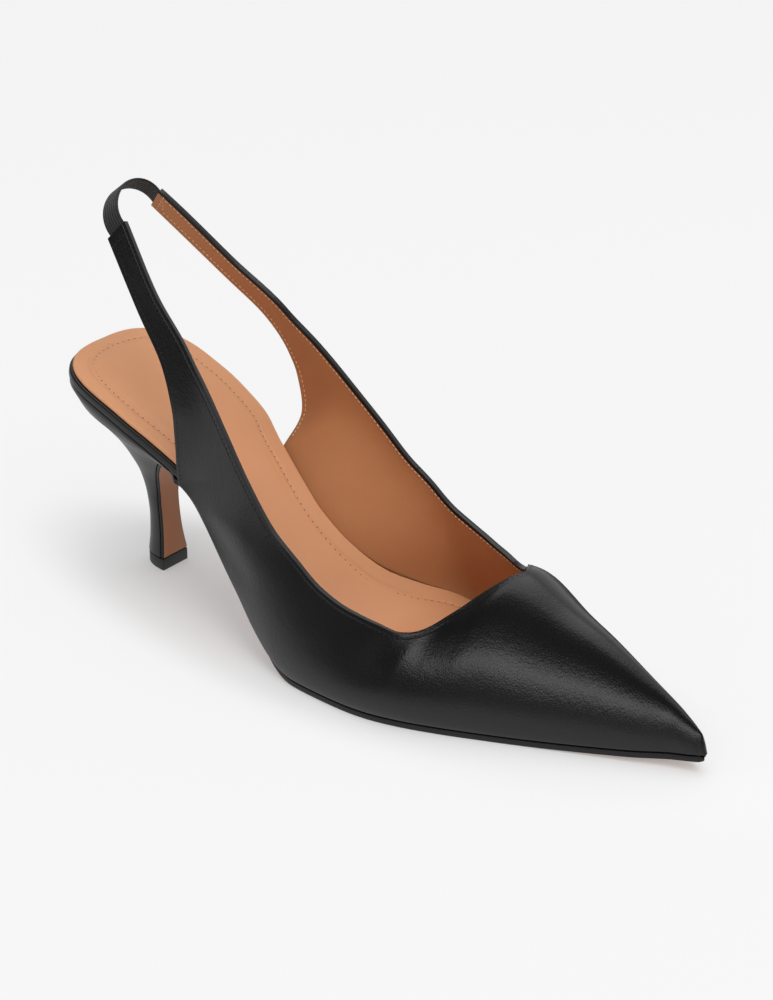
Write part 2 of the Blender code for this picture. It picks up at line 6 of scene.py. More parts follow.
import bmesh
import bpy
import numpy as np
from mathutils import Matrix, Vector


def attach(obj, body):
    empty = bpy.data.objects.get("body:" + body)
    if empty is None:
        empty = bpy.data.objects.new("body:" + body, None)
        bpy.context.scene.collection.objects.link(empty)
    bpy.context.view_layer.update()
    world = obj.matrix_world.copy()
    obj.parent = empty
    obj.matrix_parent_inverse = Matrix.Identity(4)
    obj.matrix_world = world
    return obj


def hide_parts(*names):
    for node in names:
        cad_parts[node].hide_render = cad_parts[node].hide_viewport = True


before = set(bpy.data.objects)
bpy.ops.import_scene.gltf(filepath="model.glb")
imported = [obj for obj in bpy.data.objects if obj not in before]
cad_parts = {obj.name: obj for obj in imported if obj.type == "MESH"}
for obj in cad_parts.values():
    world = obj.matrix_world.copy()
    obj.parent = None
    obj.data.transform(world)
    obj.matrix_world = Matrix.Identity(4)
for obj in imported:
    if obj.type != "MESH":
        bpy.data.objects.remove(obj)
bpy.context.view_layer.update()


# Insole: the moulded board that carries the foot. Its rim is wrapped in black calf and shows as a
# thin line round the sock. It is pressed to the last's curve, and every other piece is cemented
# to it, so the last's own sizes stand here.
LENGTH = 0.248
BALL_WIDTH = 0.077
SEAT_RISE = 0.072
TOE_SPRING = 0.004
WALL = 0.0016
SOLE = 0.0022
BOARD = 0.0020
RIM = 0.0030
SOCK = 0.0012
GAP = 0.0003
NOSE = 0.0085
SEAT_ROUND = 0.027
SEAT_REACH = 0.0018
TOE_REACH = 0.0020
SEAT_SQUARENESS = 2.9
TIP_STRETCH = 2.2
TREAD_SKEW = 0.30
HALF = BALL_WIDTH / 2
FEATHER = WALL + GAP
HEEL_MIDDLE = 0.100 * LENGTH
STACK = SOCK + GAP + BOARD + GAP + SOLE
LATERAL = -1
MEDIAL = 1
END_SKIP = 0.00004
SLOPE_STEP = 0.0005
LAYER_ROWS = 190
BOARD_ROUNDING = 0.0007
SHARP = 50

# Place along the length, then shares of the seat's rise and of the toe's spring.
BED = (
    (-0.012, 1.009, 0.00), (0.000, 1.000, 0.00), (0.040, 0.966, 0.00), (0.081, 0.925, 0.00),
    (0.121, 0.876, 0.00), (0.161, 0.820, 0.00), (0.202, 0.758, 0.00), (0.242, 0.694, 0.00),
    (0.282, 0.622, 0.00), (0.323, 0.514, 0.00), (0.363, 0.392, 0.00), (0.403, 0.262, 0.00),
    (0.444, 0.118, 0.00), (0.484, 0.030, 0.00), (0.520, 0.000, 0.00), (0.660, 0.000, 0.00),
    (0.750, 0.000, 0.00), (0.830, 0.000, 0.10), (0.900, 0.000, 0.36), (0.950, 0.000, 0.65),
    (1.000, 0.000, 1.00),
)
# Place along the length, then outer and inner width as shares of half the ball's.
OUTLINE = (
    (0.000, 0.660, 0.660), (0.100, 0.682, 0.682), (0.140, 0.684, 0.682), (0.180, 0.668, 0.658),
    (0.222, 0.657, 0.605), (0.270, 0.665, 0.457), (0.323, 0.704, 0.343), (0.363, 0.755, 0.294),
    (0.403, 0.815, 0.322), (0.444, 0.880, 0.450), (0.484, 0.925, 0.690), (0.520, 0.942, 0.893),
    (0.557, 0.948, 0.953), (0.600, 0.925, 0.930), (0.640, 0.860, 0.882), (0.690, 0.740, 0.790),
    (0.754, 0.556, 0.660), (0.806, 0.402, 0.520), (0.865, 0.230, 0.385), (0.920, 0.075, 0.268),
    (0.968, -0.068, 0.190), (1.000, -0.110, 0.150),
)
# Place along the length, then how far the middle leans to the inner side.
MIDDLE = (
    (0.000, 0.00), (0.600, 0.00), (0.740, 0.02), (0.855, 0.08), (0.911, 0.105), (0.968, 0.13),
    (1.000, 0.13),
)


def curve(table):
    """A smooth curve through the rows of a table, for all its columns at once."""
    rows = np.array(table)
    keys = rows[:, 0]
    slopes = np.gradient(rows, keys, axis=0)
    rises = np.diff(rows, axis=0) / np.diff(keys)[:, None]
    slopes[1:-1][rises[1:] * rises[:-1] <= 0] = 0

    def at(key):
        key = min(max(key, keys[0]), keys[-1])
        i = min(max(int(np.searchsorted(keys, key)) - 1, 0), len(keys) - 2)
        step = keys[i + 1] - keys[i]
        t = (key - keys[i]) / step
        return (rows[i] * (1 + 2 * t) * (1 - t) ** 2 + rows[i + 1] * t * t * (3 - 2 * t)
                + step * (slopes[i] * t * (1 - t) ** 2 - slopes[i + 1] * t * t * (1 - t)))

    return at


bed_at = curve(BED)
outline_at = curve(OUTLINE)
middle_at = curve(MIDDLE)


def mix(a, b, share):
    return a + (b - a) * share


def ease(share):
    share = min(max(share, 0.0), 1.0)
    return share * share * (3 - 2 * share)


def bed(x):
    """Height of the sock's top."""
    _, rise, spring = bed_at(x / LENGTH)
    return STACK + rise * SEAT_RISE + spring * TOE_SPRING


def board_depth(station):
    """Depth of the insole's underside below the sock's top."""
    return SOCK + GAP + mix(RIM, BOARD, ease((station / LENGTH - 0.30) / 0.15))


def tread_skew(station):
    share = station / LENGTH
    return TREAD_SKEW * ease((share - 0.24) / 0.16) * ease((0.80 - share) / 0.15)


def bed_slope(station):
    return (bed(station + SLOPE_STEP) - bed(station - SLOPE_STEP)) / (2 * SLOPE_STEP)


def sole_point(station, across, depth):
    """A point below the sock's top; its rows run slantwise over the ball."""
    slope = bed_slope(station)
    size = math.hypot(1, slope)
    x = station + depth * slope / size + tread_skew(station) * across
    return np.array((x, across, bed(station) - depth / size))


def toe_tip(grow):
    return LENGTH + TOE_REACH - (FEATHER - grow) * TIP_STRETCH


def seat_back(grow):
    return -SEAT_REACH - grow


def edge(x, side, grow):
    """Distance of the insole's edge from the middle plane, grown outwards by grow."""
    column = 1 if side == LATERAL else 2
    here = outline_at(x / LENGTH)[column]
    ahead = outline_at((x + SLOPE_STEP) / LENGTH)[column]
    slope = (ahead - here) * HALF / SLOPE_STEP
    wide = here * HALF + grow * math.hypot(1, slope)
    middle = side * middle_at(x / LENGTH)[1] * HALF
    nose = min(max((x - toe_tip(grow) + NOSE) / NOSE, 0), 1)
    seat = min(max((SEAT_ROUND - SEAT_REACH - grow - x) / SEAT_ROUND, 0), 1)
    rounding = math.sqrt(1 - nose ** 2) * (1 - seat ** SEAT_SQUARENESS) ** (1 / SEAT_SQUARENESS)
    return middle + (wide - middle) * rounding


def edge_across(station, side, grow):
    across = 0
    for _ in range(8):
        across = side * edge(station + tread_skew(station) * across, side, grow)
    return across


def edge_point(station, side, depth, grow):
    return sole_point(station, edge_across(station, side, grow), depth)


def rounded_edge(radius, steps=4):
    """An edge's profile: growth, share of the thickness, and drop from there."""
    turns = [math.pi / 2 * i / steps for i in range(steps + 1)]
    upper_corner = [(-radius * (1 - math.sin(a)), 0, radius * (1 - math.cos(a))) for a in turns]
    lower_corner = [(-radius * (1 - math.cos(a)), 1, -radius * (1 - math.sin(a))) for a in turns]
    return upper_corner + lower_corner


def layer_shares(count):
    """Places from the seat to the tip, closer together at both round ends."""
    return [(1 - math.cos(math.pi * i / (count - 1))) / 2 for i in range(count)]


def layer_loop(share, grow, profile, top, bottom, columns=1):
    """One cross-section of a sole layer: outer edge, inner edge, then back over the top."""
    sides = {}
    for side in (LATERAL, MEDIAL):
        sides[side] = []
        for inset, part, drop in profile:
            size = grow + inset
            station = mix(seat_back(size) + END_SKIP, toe_tip(size) - END_SKIP, share)
            depth = mix(top(station), bottom(station), part) + drop
            across = edge_across(station, side, size)
            sides[side].append((station, across, depth))
    loop = sides[LATERAL] + sides[MEDIAL][::-1]
    first, last = sides[LATERAL][0], sides[MEDIAL][0]
    for i in range(1, columns):
        loop.append((first[0], mix(last[1], first[1], i / columns), first[2]))
    return [sole_point(*place) for place in loop]


def loop_faces(loops, size):
    """Faces of a closed tube of loops, with both ends filled."""
    faces = []
    for i in range(loops - 1):
        a, b = i * size, (i + 1) * size
        for j in range(size):
            k = (j + 1) % size
            faces.append((a + j, a + k, b + k, b + j))
    last = (loops - 1) * size
    faces.append(tuple(range(size - 1, -1, -1)))
    faces.append(tuple(last + j for j in range(size)))
    return faces


def new_piece(name, points, faces, materials, shares=None, turned=True):
    """A piece from points measured from the back of the seat, moved to the part's own frame."""
    mesh = bpy.data.meshes.new(name)
    mesh.from_pydata([(p[0] - HEEL_MIDDLE, p[1], p[2]) for p in points], [], faces)
    mesh.validate()
    for made in materials:
        mesh.materials.append(made)
    if shares is not None:
        mesh.polygons.foreach_set("material_index", shares)
    if turned:
        shell = bmesh.new()
        shell.from_mesh(mesh)
        bmesh.ops.recalc_face_normals(shell, faces=shell.faces)
        shell.to_mesh(mesh)
        shell.free()
    mesh.shade_smooth()
    piece = bpy.data.objects.new(name, mesh)
    bpy.context.scene.collection.objects.link(piece)
    return piece


def settle(piece, sharp=SHARP):
    """Makes a piece with modifiers a plain mesh, smooth but for its real corners."""
    bpy.context.view_layer.update()
    solid = piece.evaluated_get(bpy.context.evaluated_depsgraph_get())
    mesh = bpy.data.meshes.new_from_object(solid)
    piece.modifiers.clear()
    mesh.name = piece.name
    piece.data = mesh
    mesh.shade_smooth()
    mesh.set_sharp_from_angle(angle=math.radians(sharp))


def place(piece, node, slot):
    """The piece stands for a solid of the frame, which it hides, and hangs under the root."""
    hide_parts(node)
    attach(piece, "root")


def set_attribute(piece, name, values):
    store = piece.data.attributes.new(name, "FLOAT", "POINT")
    store.data.foreach_set("value", np.asarray(values, dtype=np.float32))


def link_math(tree, operation, *values):
    """A Math node with numbers or sockets as its inputs."""
    node = tree.nodes.new("ShaderNodeMath")
    node.operation = operation
    for socket, value in zip(node.inputs, values):
        if isinstance(value, (int, float)):
            socket.default_value = value
        else:
            tree.links.new(value, socket)
    return node.outputs[0]


def node_at(tree, kind, **inputs):
    """A node with values or sockets on its named inputs."""
    node = tree.nodes.new(kind)
    for name, value in inputs.items():
        socket = node.inputs[name.replace("_", " ")]
        if isinstance(value, bpy.types.NodeSocket):
            tree.links.new(value, socket)
        else:
            socket.default_value = value
    return node


def blended(tree, share, one, other):
    """A colour between two, each given as a colour or a socket."""
    mixer = tree.nodes.new("ShaderNodeMix")
    mixer.data_type = "RGBA"
    tree.links.new(share, mixer.inputs["Factor"])
    for name, value in (("A", one), ("B", other)):
        if isinstance(value, bpy.types.NodeSocket):
            tree.links.new(value, mixer.inputs[name])
        else:
            mixer.inputs[name].default_value = (*value, 1)
    return mixer.outputs["Result"]


def span(tree, value, low, high, to_low=0, to_high=1, soft=True):
    """A value carried from one range to another."""
    node = tree.nodes.new("ShaderNodeMapRange")
    node.interpolation_type = "SMOOTHSTEP" if soft else "LINEAR"
    for name, number in (("From Min", low), ("From Max", high), ("To Min", to_low), ("To Max", to_high)):
        node.inputs[name].default_value = number
    tree.links.new(value, node.inputs["Value"])
    return node.outputs["Result"]


def attribute(tree, name):
    source = tree.nodes.new("ShaderNodeAttribute")
    source.attribute_name = name
    return source.outputs["Fac"]


def new_material(name):
    """A material with its node tree and its shader."""
    made = bpy.data.materials.new(name)
    made.use_nodes = True
    return made, made.node_tree, made.node_tree.nodes["Principled BSDF"]


def leather_group():
    """Leather with its grain: colour, roughness and height, from the piece's own coordinates."""
    tree = bpy.data.node_groups.new("leather_grain", "ShaderNodeTree")
    face = tree.interface
    for name, kind, value in (
            ("Tone", "NodeSocketColor", (0.01, 0.01, 0.01, 1)),
            ("Shade", "NodeSocketColor", (0.005, 0.005, 0.005, 1)),
            ("Mottle", "NodeSocketFloat", 0.5),
            ("Grain", "NodeSocketFloat", 1500.0),
            ("Gloss", "NodeSocketFloat", 0.38),
            ("Gloss Change", "NodeSocketFloat", 0.08)):
        face.new_socket(name, in_out="INPUT", socket_type=kind).default_value = value
    face.new_socket("Color", in_out="OUTPUT", socket_type="NodeSocketColor")
    face.new_socket("Roughness", in_out="OUTPUT", socket_type="NodeSocketFloat")
    face.new_socket("Height", in_out="OUTPUT", socket_type="NodeSocketFloat")
    given = tree.nodes.new("NodeGroupInput").outputs
    result = tree.nodes.new("NodeGroupOutput").inputs
    where = tree.nodes.new("ShaderNodeTexCoord").outputs["Object"]

    pores = node_at(tree, "ShaderNodeTexVoronoi", Vector=where, Scale=given["Grain"])
    pores.feature = "SMOOTH_F1"
    pores.inputs["Smoothness"].default_value = 0.6
    coarse = link_math(tree, "MULTIPLY", given["Grain"], 0.32)
    folds = node_at(tree, "ShaderNodeTexNoise", Vector=where, Scale=coarse, Detail=4)
    cloud = node_at(tree, "ShaderNodeTexNoise", Vector=where, Scale=70, Detail=5)

    pebble = link_math(tree, "MULTIPLY", pores.outputs["Distance"], 0.6)
    crease = link_math(tree, "MULTIPLY", folds.outputs["Fac"], 0.8)
    swell = link_math(tree, "MULTIPLY", cloud.outputs["Fac"], 3.0)
    fine = link_math(tree, "ADD", pebble, crease)
    tree.links.new(link_math(tree, "ADD", fine, swell), result["Height"])
    spread = link_math(tree, "MULTIPLY", cloud.outputs["Fac"], given["Mottle"])
    tree.links.new(blended(tree, spread, given["Tone"], given["Shade"]), result["Color"])
    swing = link_math(tree, "SUBTRACT", cloud.outputs["Fac"], 0.5)
    change = link_math(tree, "MULTIPLY", swing, given["Gloss Change"])
    tree.links.new(link_math(tree, "ADD", given["Gloss"], change), result["Roughness"])
    return tree


leather_grain = leather_group()


COAT_ROUGHNESS = 0.22


def leather(name, tone, shade, mottle, grain, gloss, gloss_change, depth, coat=0.0):
    """A leather material, its shader, its grain group and the bump that carries the grain."""
    made, tree, shader = new_material(name)
    shader.inputs["Coat Weight"].default_value = coat
    shader.inputs["Coat Roughness"].default_value = COAT_ROUGHNESS
    grained = tree.nodes.new("ShaderNodeGroup")
    grained.node_tree = leather_grain
    grained.name = "grain"
    values = {"Tone": (*tone, 1), "Shade": (*shade, 1), "Mottle": mottle, "Grain": grain, "Gloss": gloss,
              "Gloss Change": gloss_change}
    for socket, value in values.items():
        grained.inputs[socket].default_value = value
    relief = node_at(tree, "ShaderNodeBump", Height=grained.outputs["Height"], Distance=depth)
    relief.name = "relief"
    tree.links.new(grained.outputs["Color"], shader.inputs["Base Color"])
    tree.links.new(grained.outputs["Roughness"], shader.inputs["Roughness"])
    tree.links.new(relief.outputs["Normal"], shader.inputs["Normal"])
    return made


rim_calf = leather("rim_calf", (0.0105, 0.0105, 0.011), (0.007, 0.007, 0.0075), 0.6, 1700, 0.40, 0.10,
                   0.00004, coat=0.15)

profile = rounded_edge(BOARD_ROUNDING)
loops = [layer_loop(share, 0, profile, lambda s: SOCK + GAP, board_depth)
         for share in layer_shares(LAYER_ROWS)]
insole = new_piece("insole_wrapped", [p for loop in loops for p in loop],
                   loop_faces(len(loops), len(loops[0])), [rim_calf])
insole.data.set_sharp_from_angle(angle=math.radians(SHARP))
place(insole, "insole", "insole")


# Sock: the tan kid sheet that covers the insole from the seat to the toe. It is padded in the
# middle, and a row of small pricked holes runs round it inside the edge. It is glued down with
# its edge skived thin.
SOCK_MARGIN = 0.0008
FRONT_MARGIN = 0.0001
SOCK_COLUMNS = 40
PAD_RISE = 0.00045
PAD_INSET = 0.0066
PAD_SLOPE = 0.0030
PRICK_INSET = 0.0058
PRICK_PITCH = 0.0024
PRICK_TROUGH = 0.0011
PRICK_TROUGH_DEPTH = 0.00022
PRICK_SIZE = (0.0007, 0.00055, 0.00016)
SOCK_ROUNDING = 0.0005
SOCK_TONE = (0.620, 0.288, 0.138)
SOCK_SHADE = (0.540, 0.240, 0.107)


def distance_to(points, path):
    """Distance of each point from a polyline."""
    points = np.asarray(points)
    path = np.asarray(path)
    starts, steps = path[:-1], np.diff(path, axis=0)
    sizes = np.maximum((steps ** 2).sum(axis=1), 1e-18)
    nearest = np.empty(len(points))
    for i in range(0, len(points), 2000):
        gap = points[i:i + 2000, None, :] - starts[None]
        t = np.clip((gap * steps).sum(axis=2) / sizes, 0, 1)
        off = gap - t[:, :, None] * steps
        nearest[i:i + 2000] = np.sqrt((off ** 2).sum(axis=2).min(axis=1))
    return nearest


def add_groove(made, name, middle, width, depth):
    """Sinks a soft channel into a material where an attribute is near a distance."""
    tree = made.node_tree
    off = link_math(tree, "ABSOLUTE", link_math(tree, "SUBTRACT", attribute(tree, name), middle))
    bump = node_at(tree, "ShaderNodeBump", Height=span(tree, off, 0, width), Distance=depth)
    below = tree.nodes["relief"].inputs["Normal"]
    if below.is_linked:
        tree.links.new(below.links[0].from_socket, bump.inputs["Normal"])
    tree.links.new(bump.outputs["Normal"], below)


def sock_margin(share):
    """Distance of the sock's edge inside the insole's, at a share of the length."""
    return mix(SOCK_MARGIN, FRONT_MARGIN, ease((share - 0.30) / 0.15))


sock_kid = leather("sock_kid", SOCK_TONE, SOCK_SHADE, 0.55, 1500, 0.52, 0.10, 0.00003)
add_groove(sock_kid, "inset", PRICK_INSET, PRICK_TROUGH, PRICK_TROUGH_DEPTH)

profile = rounded_edge(SOCK_ROUNDING)
loops = [layer_loop(share, -sock_margin(share), profile, lambda s: 0, lambda s: SOCK, SOCK_COLUMNS)
         for share in layer_shares(LAYER_ROWS)]
points = np.array([p for loop in loops for p in loop])
rim_path = np.array([loop[len(profile) // 2] for loop in loops]
                    + [loop[len(profile) + len(profile) // 2] for loop in loops[::-1]])
inset = distance_to(points, rim_path)
lifted = np.clip((inset - PAD_INSET) / PAD_SLOPE, 0, 1)
lifted = lifted * lifted * (3 - 2 * lifted)
size = len(loops[0])
on_top = np.tile(np.arange(size) >= 2 * len(profile), len(loops))
points[:, 2] += lifted * on_top * PAD_RISE
sock = new_piece("sock_sheet", points, loop_faces(len(loops), size), [sock_kid])
sock.data.set_sharp_from_angle(angle=math.radians(SHARP))
set_attribute(sock, "inset", inset)
place(sock, "sock", "sock")


# Pricked holes of the sock: round awl marks in a row, made before the sheet is glued down.
def row_tree():
    """Small rounded marks or stitches along a path, each turned along it and flat on the piece."""
    tree = bpy.data.node_groups.new("stitch_row", "GeometryNodeTree")
    face = tree.interface
    face.new_socket("Geometry", in_out="INPUT", socket_type="NodeSocketGeometry")
    for name, value in (("Pitch", 0.0016), ("Long", 0.0012), ("Wide", 0.0004), ("High", 0.0003)):
        face.new_socket(name, in_out="INPUT", socket_type="NodeSocketFloat").default_value = value
    face.new_socket("Material", in_out="INPUT", socket_type="NodeSocketMaterial")
    face.new_socket("Geometry", in_out="OUTPUT", socket_type="NodeSocketGeometry")
    given = tree.nodes.new("NodeGroupInput").outputs
    path = node_at(tree, "GeometryNodeMeshToCurve", Mesh=given["Geometry"])
    spaced = tree.nodes.new("GeometryNodeResampleCurve")
    spaced.mode = "LENGTH"
    tree.links.new(path.outputs["Curve"], spaced.inputs["Curve"])
    tree.links.new(given["Pitch"], spaced.inputs["Length"])
    along = tree.nodes.new("GeometryNodeInputTangent")
    up = tree.nodes.new("GeometryNodeInputNamedAttribute")
    up.data_type = "FLOAT_VECTOR"
    up.inputs["Name"].default_value = "up"
    turned = tree.nodes.new("FunctionNodeAlignRotationToVector")
    turned.axis = "X"
    tree.links.new(along.outputs["Tangent"], turned.inputs["Vector"])
    laid = tree.nodes.new("FunctionNodeAlignRotationToVector")
    laid.axis = "Z"
    laid.pivot_axis = "X"
    tree.links.new(turned.outputs["Rotation"], laid.inputs["Rotation"])
    tree.links.new(up.outputs["Attribute"], laid.inputs["Vector"])
    ball = node_at(tree, "GeometryNodeMeshUVSphere", Segments=8, Rings=5, Radius=0.5)
    sizes = tree.nodes.new("ShaderNodeCombineXYZ")
    for axis, name in zip("XYZ", ("Long", "Wide", "High")):
        tree.links.new(given[name], sizes.inputs[axis])
    shaped = node_at(tree, "GeometryNodeTransform", Geometry=ball.outputs["Mesh"],
                     Scale=sizes.outputs["Vector"])
    placed = node_at(tree, "GeometryNodeInstanceOnPoints", Points=spaced.outputs["Curve"],
                     Instance=shaped.outputs["Geometry"], Rotation=laid.outputs["Rotation"])
    solid = node_at(tree, "GeometryNodeRealizeInstances", Geometry=placed.outputs["Instances"])
    finished = node_at(tree, "GeometryNodeSetMaterial", Geometry=solid.outputs["Geometry"],
                       Material=given["Material"])
    result = tree.nodes.new("NodeGroupOutput")
    tree.links.new(finished.outputs["Geometry"], result.inputs["Geometry"])
    return tree


stitch_row = row_tree()


def row_of(name, path, ups, made, pitch, size):
    """A row of stitches or marks along a path of points; their size is long, wide and high."""
    mesh = bpy.data.meshes.new(name)
    edges = [(i, i + 1) for i in range(len(path) - 1)]
    mesh.from_pydata([(p[0] - HEEL_MIDDLE, p[1], p[2]) for p in path], edges, [])
    store = mesh.attributes.new("up", "FLOAT_VECTOR", "POINT")
    store.data.foreach_set("vector", np.asarray(ups, dtype=np.float32).ravel())
    piece = bpy.data.objects.new(name, mesh)
    bpy.context.scene.collection.objects.link(piece)
    work = piece.modifiers.new("row", "NODES")
    work.node_group = stitch_row
    values = {"Pitch": pitch, "Material": made, **dict(zip(("Long", "Wide", "High"), size))}
    for item in stitch_row.interface.items_tree:
        if item.in_out == "INPUT" and item.name in values:
            work[item.identifier] = values[item.name]
    settle(piece, sharp=180)
    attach(piece, "root")


def plain(name, tone, shade, roughness, scale, depth):
    """A thread, rubber or prick material: a little mottled, with a fine noise bump."""
    made, tree, shader = new_material(name)
    shader.inputs["Roughness"].default_value = roughness
    where = tree.nodes.new("ShaderNodeTexCoord").outputs["Object"]
    speck = node_at(tree, "ShaderNodeTexNoise", Vector=where, Scale=scale, Detail=3.0).outputs["Fac"]
    tree.links.new(blended(tree, speck, tone, shade), shader.inputs["Base Color"])
    bump = node_at(tree, "ShaderNodeBump", Height=speck, Distance=depth)
    tree.links.new(bump.outputs["Normal"], shader.inputs["Normal"])
    return made


# The marks are flat ellipsoids in dark brown: painted shade that stands in for the depth of each pricked
# hole.
prick_painted_shade = plain("prick_painted_shade", (0.24, 0.10, 0.045), (0.16, 0.06, 0.025), 0.8, 2000, 0.00002)
prick_path = []
prick_ups = []
PRICK_END = 0.80 * LENGTH
ring = -SOCK_MARGIN - PRICK_INSET
stations = [mix(PRICK_END, seat_back(ring) + END_SKIP, math.sin(math.pi / 2 * i / 150))
            for i in range(151)]
for side, places in ((LATERAL, stations), (MEDIAL, stations[-2::-1])):
    for station in places:
        inside = sock_margin(station / LENGTH) + PRICK_INSET
        prick_path.append(edge_point(station, side, 0.00002, -inside))
        slope = bed_slope(station)
        prick_ups.append((-slope, 0, 1))
row_of("sock_pricks", prick_path, prick_ups, prick_painted_shade, PRICK_PITCH, PRICK_SIZE)


# Outsole: thin tan sole leather with a dyed black edge. It is cemented on from the toe to the
# waist, skived there, and carried down the breast of the heel as a flap.
FLAP = 0.0012
SOLE_MARGIN = 0.0004
WAIST_MARGIN = 0.0026
WAIST_START = 0.268
SOLE_ROWS = 190
FLAP_ROWS = 90
EDGE_ROUNDING = 0.0004
# Back x and z, front x and z, half width, and how far a ring has the seat's outline.
HEEL = (
    (0.0785, 0.067, 0.1175, 0.067, 0.160, 0.00), (0.0812, 0.150, 0.1150, 0.150, 0.136, 0.00),
    (0.0818, 0.250, 0.1125, 0.250, 0.122, 0.00), (0.0775, 0.360, 0.1105, 0.368, 0.121, 0.00),
    (0.0670, 0.472, 0.1140, 0.472, 0.152, 0.00), (0.0515, 0.562, 0.1250, 0.562, 0.220, 0.12),
    (0.0365, 0.642, 0.1440, 0.642, 0.300, 0.35), (0.0240, 0.722, 0.1710, 0.692, 0.398, 0.62),
    (0.0110, 0.832, 0.1990, 0.710, 0.520, 0.86), (-0.002, 0.930, 0.2200, 0.712, 0.620, 1.00),
)
heel_at = curve([(i, *row) for i, row in enumerate(HEEL)])
HEEL_LAST = len(HEEL) - 1


def heel_ring(at):
    back_x, back_z, front_x, front_z, half, seat = heel_at(at)[1:]
    return (back_x * LENGTH, back_z * SEAT_RISE, front_x * LENGTH, front_z * SEAT_RISE, half * HALF,
            seat)


def flap_loop(path, i, profile):
    """One cross-section of the flap, square to the breast."""
    before, after = path[max(i - 1, 0)], path[min(i + 1, len(path) - 1)]
    along = np.array((after[0] - before[0], after[1] - before[1]))
    along /= np.linalg.norm(along)
    out = np.array((along[1], -along[0]))
    thick = mix(FLAP, SOLE, ease(i / (len(path) - 1) * 2 - 1))
    x, z, half = path[i]
    outer = []
    for inset, part, drop in profile:
        deep = np.array((x, z)) + out * (GAP + part * thick + drop)
        outer.append(np.array((deep[0], -half - inset, deep[1])))
    inner = [point * (1, -1, 1) for point in outer]
    return outer + inner[::-1]


def sole_grow(station):
    waist = ease((0.52 - station / LENGTH) / 0.12)
    return mix(FEATHER - SOLE_MARGIN, -WAIST_MARGIN, waist)


edge_black = leather("edge_black", (0.004, 0.004, 0.004), (0.007, 0.006, 0.006), 0.5, 900, 0.50, 0.12,
                     0.00003)
sole_tan = leather("sole_tan", (0.41, 0.162, 0.068), (0.33, 0.125, 0.050), 0.7, 2400, 0.42, 0.14,
                   0.00003)
profile = rounded_edge(EDGE_ROUNDING)
path = []
for i in range(FLAP_ROWS):
    _, _, x, z, half, _ = heel_ring(HEEL_LAST * i / (FLAP_ROWS - 1))
    path.append((x, z, half))
loops = [flap_loop(path, i, profile) for i in range(FLAP_ROWS)]
start = WAIST_START * LENGTH
for i in range(SOLE_ROWS):
    share = 1 - (1 - i / (SOLE_ROWS - 1)) ** 1.7
    loop = {LATERAL: [], MEDIAL: []}
    for side in (LATERAL, MEDIAL):
        for inset, part, drop in profile:
            station = mix(start, toe_tip(FEATHER - SOLE_MARGIN + inset) - END_SKIP, share)
            top = board_depth(station) + GAP
            loop[side].append(edge_point(station, side, top + part * SOLE + drop,
                                         sole_grow(station) + inset))
    loops.append(loop[LATERAL] + loop[MEDIAL][::-1])
size = len(loops[0])
faces = loop_faces(len(loops), size)
shown = len(profile) - 1
shares = [1 if i < len(faces) - 2 and i % size == shown else 0 for i in range(len(faces))]
outsole = new_piece("outsole_leather", [p for loop in loops for p in loop], faces,
                    [edge_black, sole_tan], shares)
outsole.data.set_sharp_from_angle(angle=math.radians(SHARP))
place(outsole, "outsole", "outsole")


# Heel: a moulded block covered in the upper's black calf, drawn tight and turned under the seat.
# It is nailed and cemented under the seat of the insole.
HEEL_SIDES = 33
HEEL_RINGS = 110
SEAT_END = HEEL[-1][2] * LENGTH
HEEL_INSET = 0.0005
FLANGE = 0.0020
FLANGE_FRONT = 0.0007
HEEL_ROUNDING = 0.00035


def half_rings(point_at):
    """A ring from the breast's outer corner round the back to its inner corner."""
    sides = []
    for side in (LATERAL, MEDIAL):
        turns = [math.sin(math.pi / 2 * i / (HEEL_SIDES - 1)) for i in range(HEEL_SIDES)]
        sides.append([point_at(side, reach, i) for i, reach in enumerate(turns)])
    return sides[0] + sides[1][-2::-1]


def heel_section(at):
    back_x, back_z, front_x, front_z, half, seat = heel_ring(at)

    def point_at(side, reach, i):
        turn = math.pi / 2 * i / (HEEL_SIDES - 1)
        station = mix(SEAT_END, seat_back(-HEEL_INSET) + END_SKIP, reach)
        widest = edge(0.14 * LENGTH, side, -HEEL_INSET)
        seat_wide = edge(station, side, -HEEL_INSET) / widest
        wide = 0 if reach == 1 else half * mix(math.cos(turn), seat_wide, seat)
        return (mix(front_x, back_x, reach), side * wide, mix(front_z, back_z, reach))

    return half_rings(point_at)


def seat_section(drop_back, drop_front, inset):
    """A ring under the insole's rim, on the sole's own surface."""

    def point_at(side, reach, i):
        station = mix(SEAT_END, seat_back(-inset) + END_SKIP, reach)
        depth = board_depth(station) + GAP + mix(drop_front, drop_back, reach)
        point = edge_point(station, side, depth, -inset)
        if reach == 1:
            point[1] = 0
        return point

    return half_rings(point_at)


def soften(piece, width):
    """Rounds the real corners of a piece."""
    rounding = piece.modifiers.new("corners", "BEVEL")
    rounding.width = width
    rounding.segments = 3
    rounding.limit_method = "ANGLE"
    rounding.angle_limit = math.radians(SHARP)


heel_calf = leather("heel_calf", (0.0060, 0.0060, 0.0064), (0.0040, 0.0040, 0.0044), 0.6, 1500, 0.34, 0.08,
                    0.00003, coat=0.1)
rings = [heel_section(HEEL_LAST * i / (HEEL_RINGS - 1)) for i in range(HEEL_RINGS)]
rings.append(seat_section(FLANGE, FLANGE_FRONT, HEEL_INSET))
rings.append(seat_section(FLANGE / 2, FLANGE_FRONT / 2, HEEL_INSET))
rings.append(seat_section(0, 0, HEEL_INSET))
heel = new_piece("heel_covered", [p for ring in rings for p in ring],
                 loop_faces(len(rings), len(rings[0])), [heel_calf])
soften(heel, HEEL_ROUNDING)
settle(heel)
place(heel, "heel", "heel")


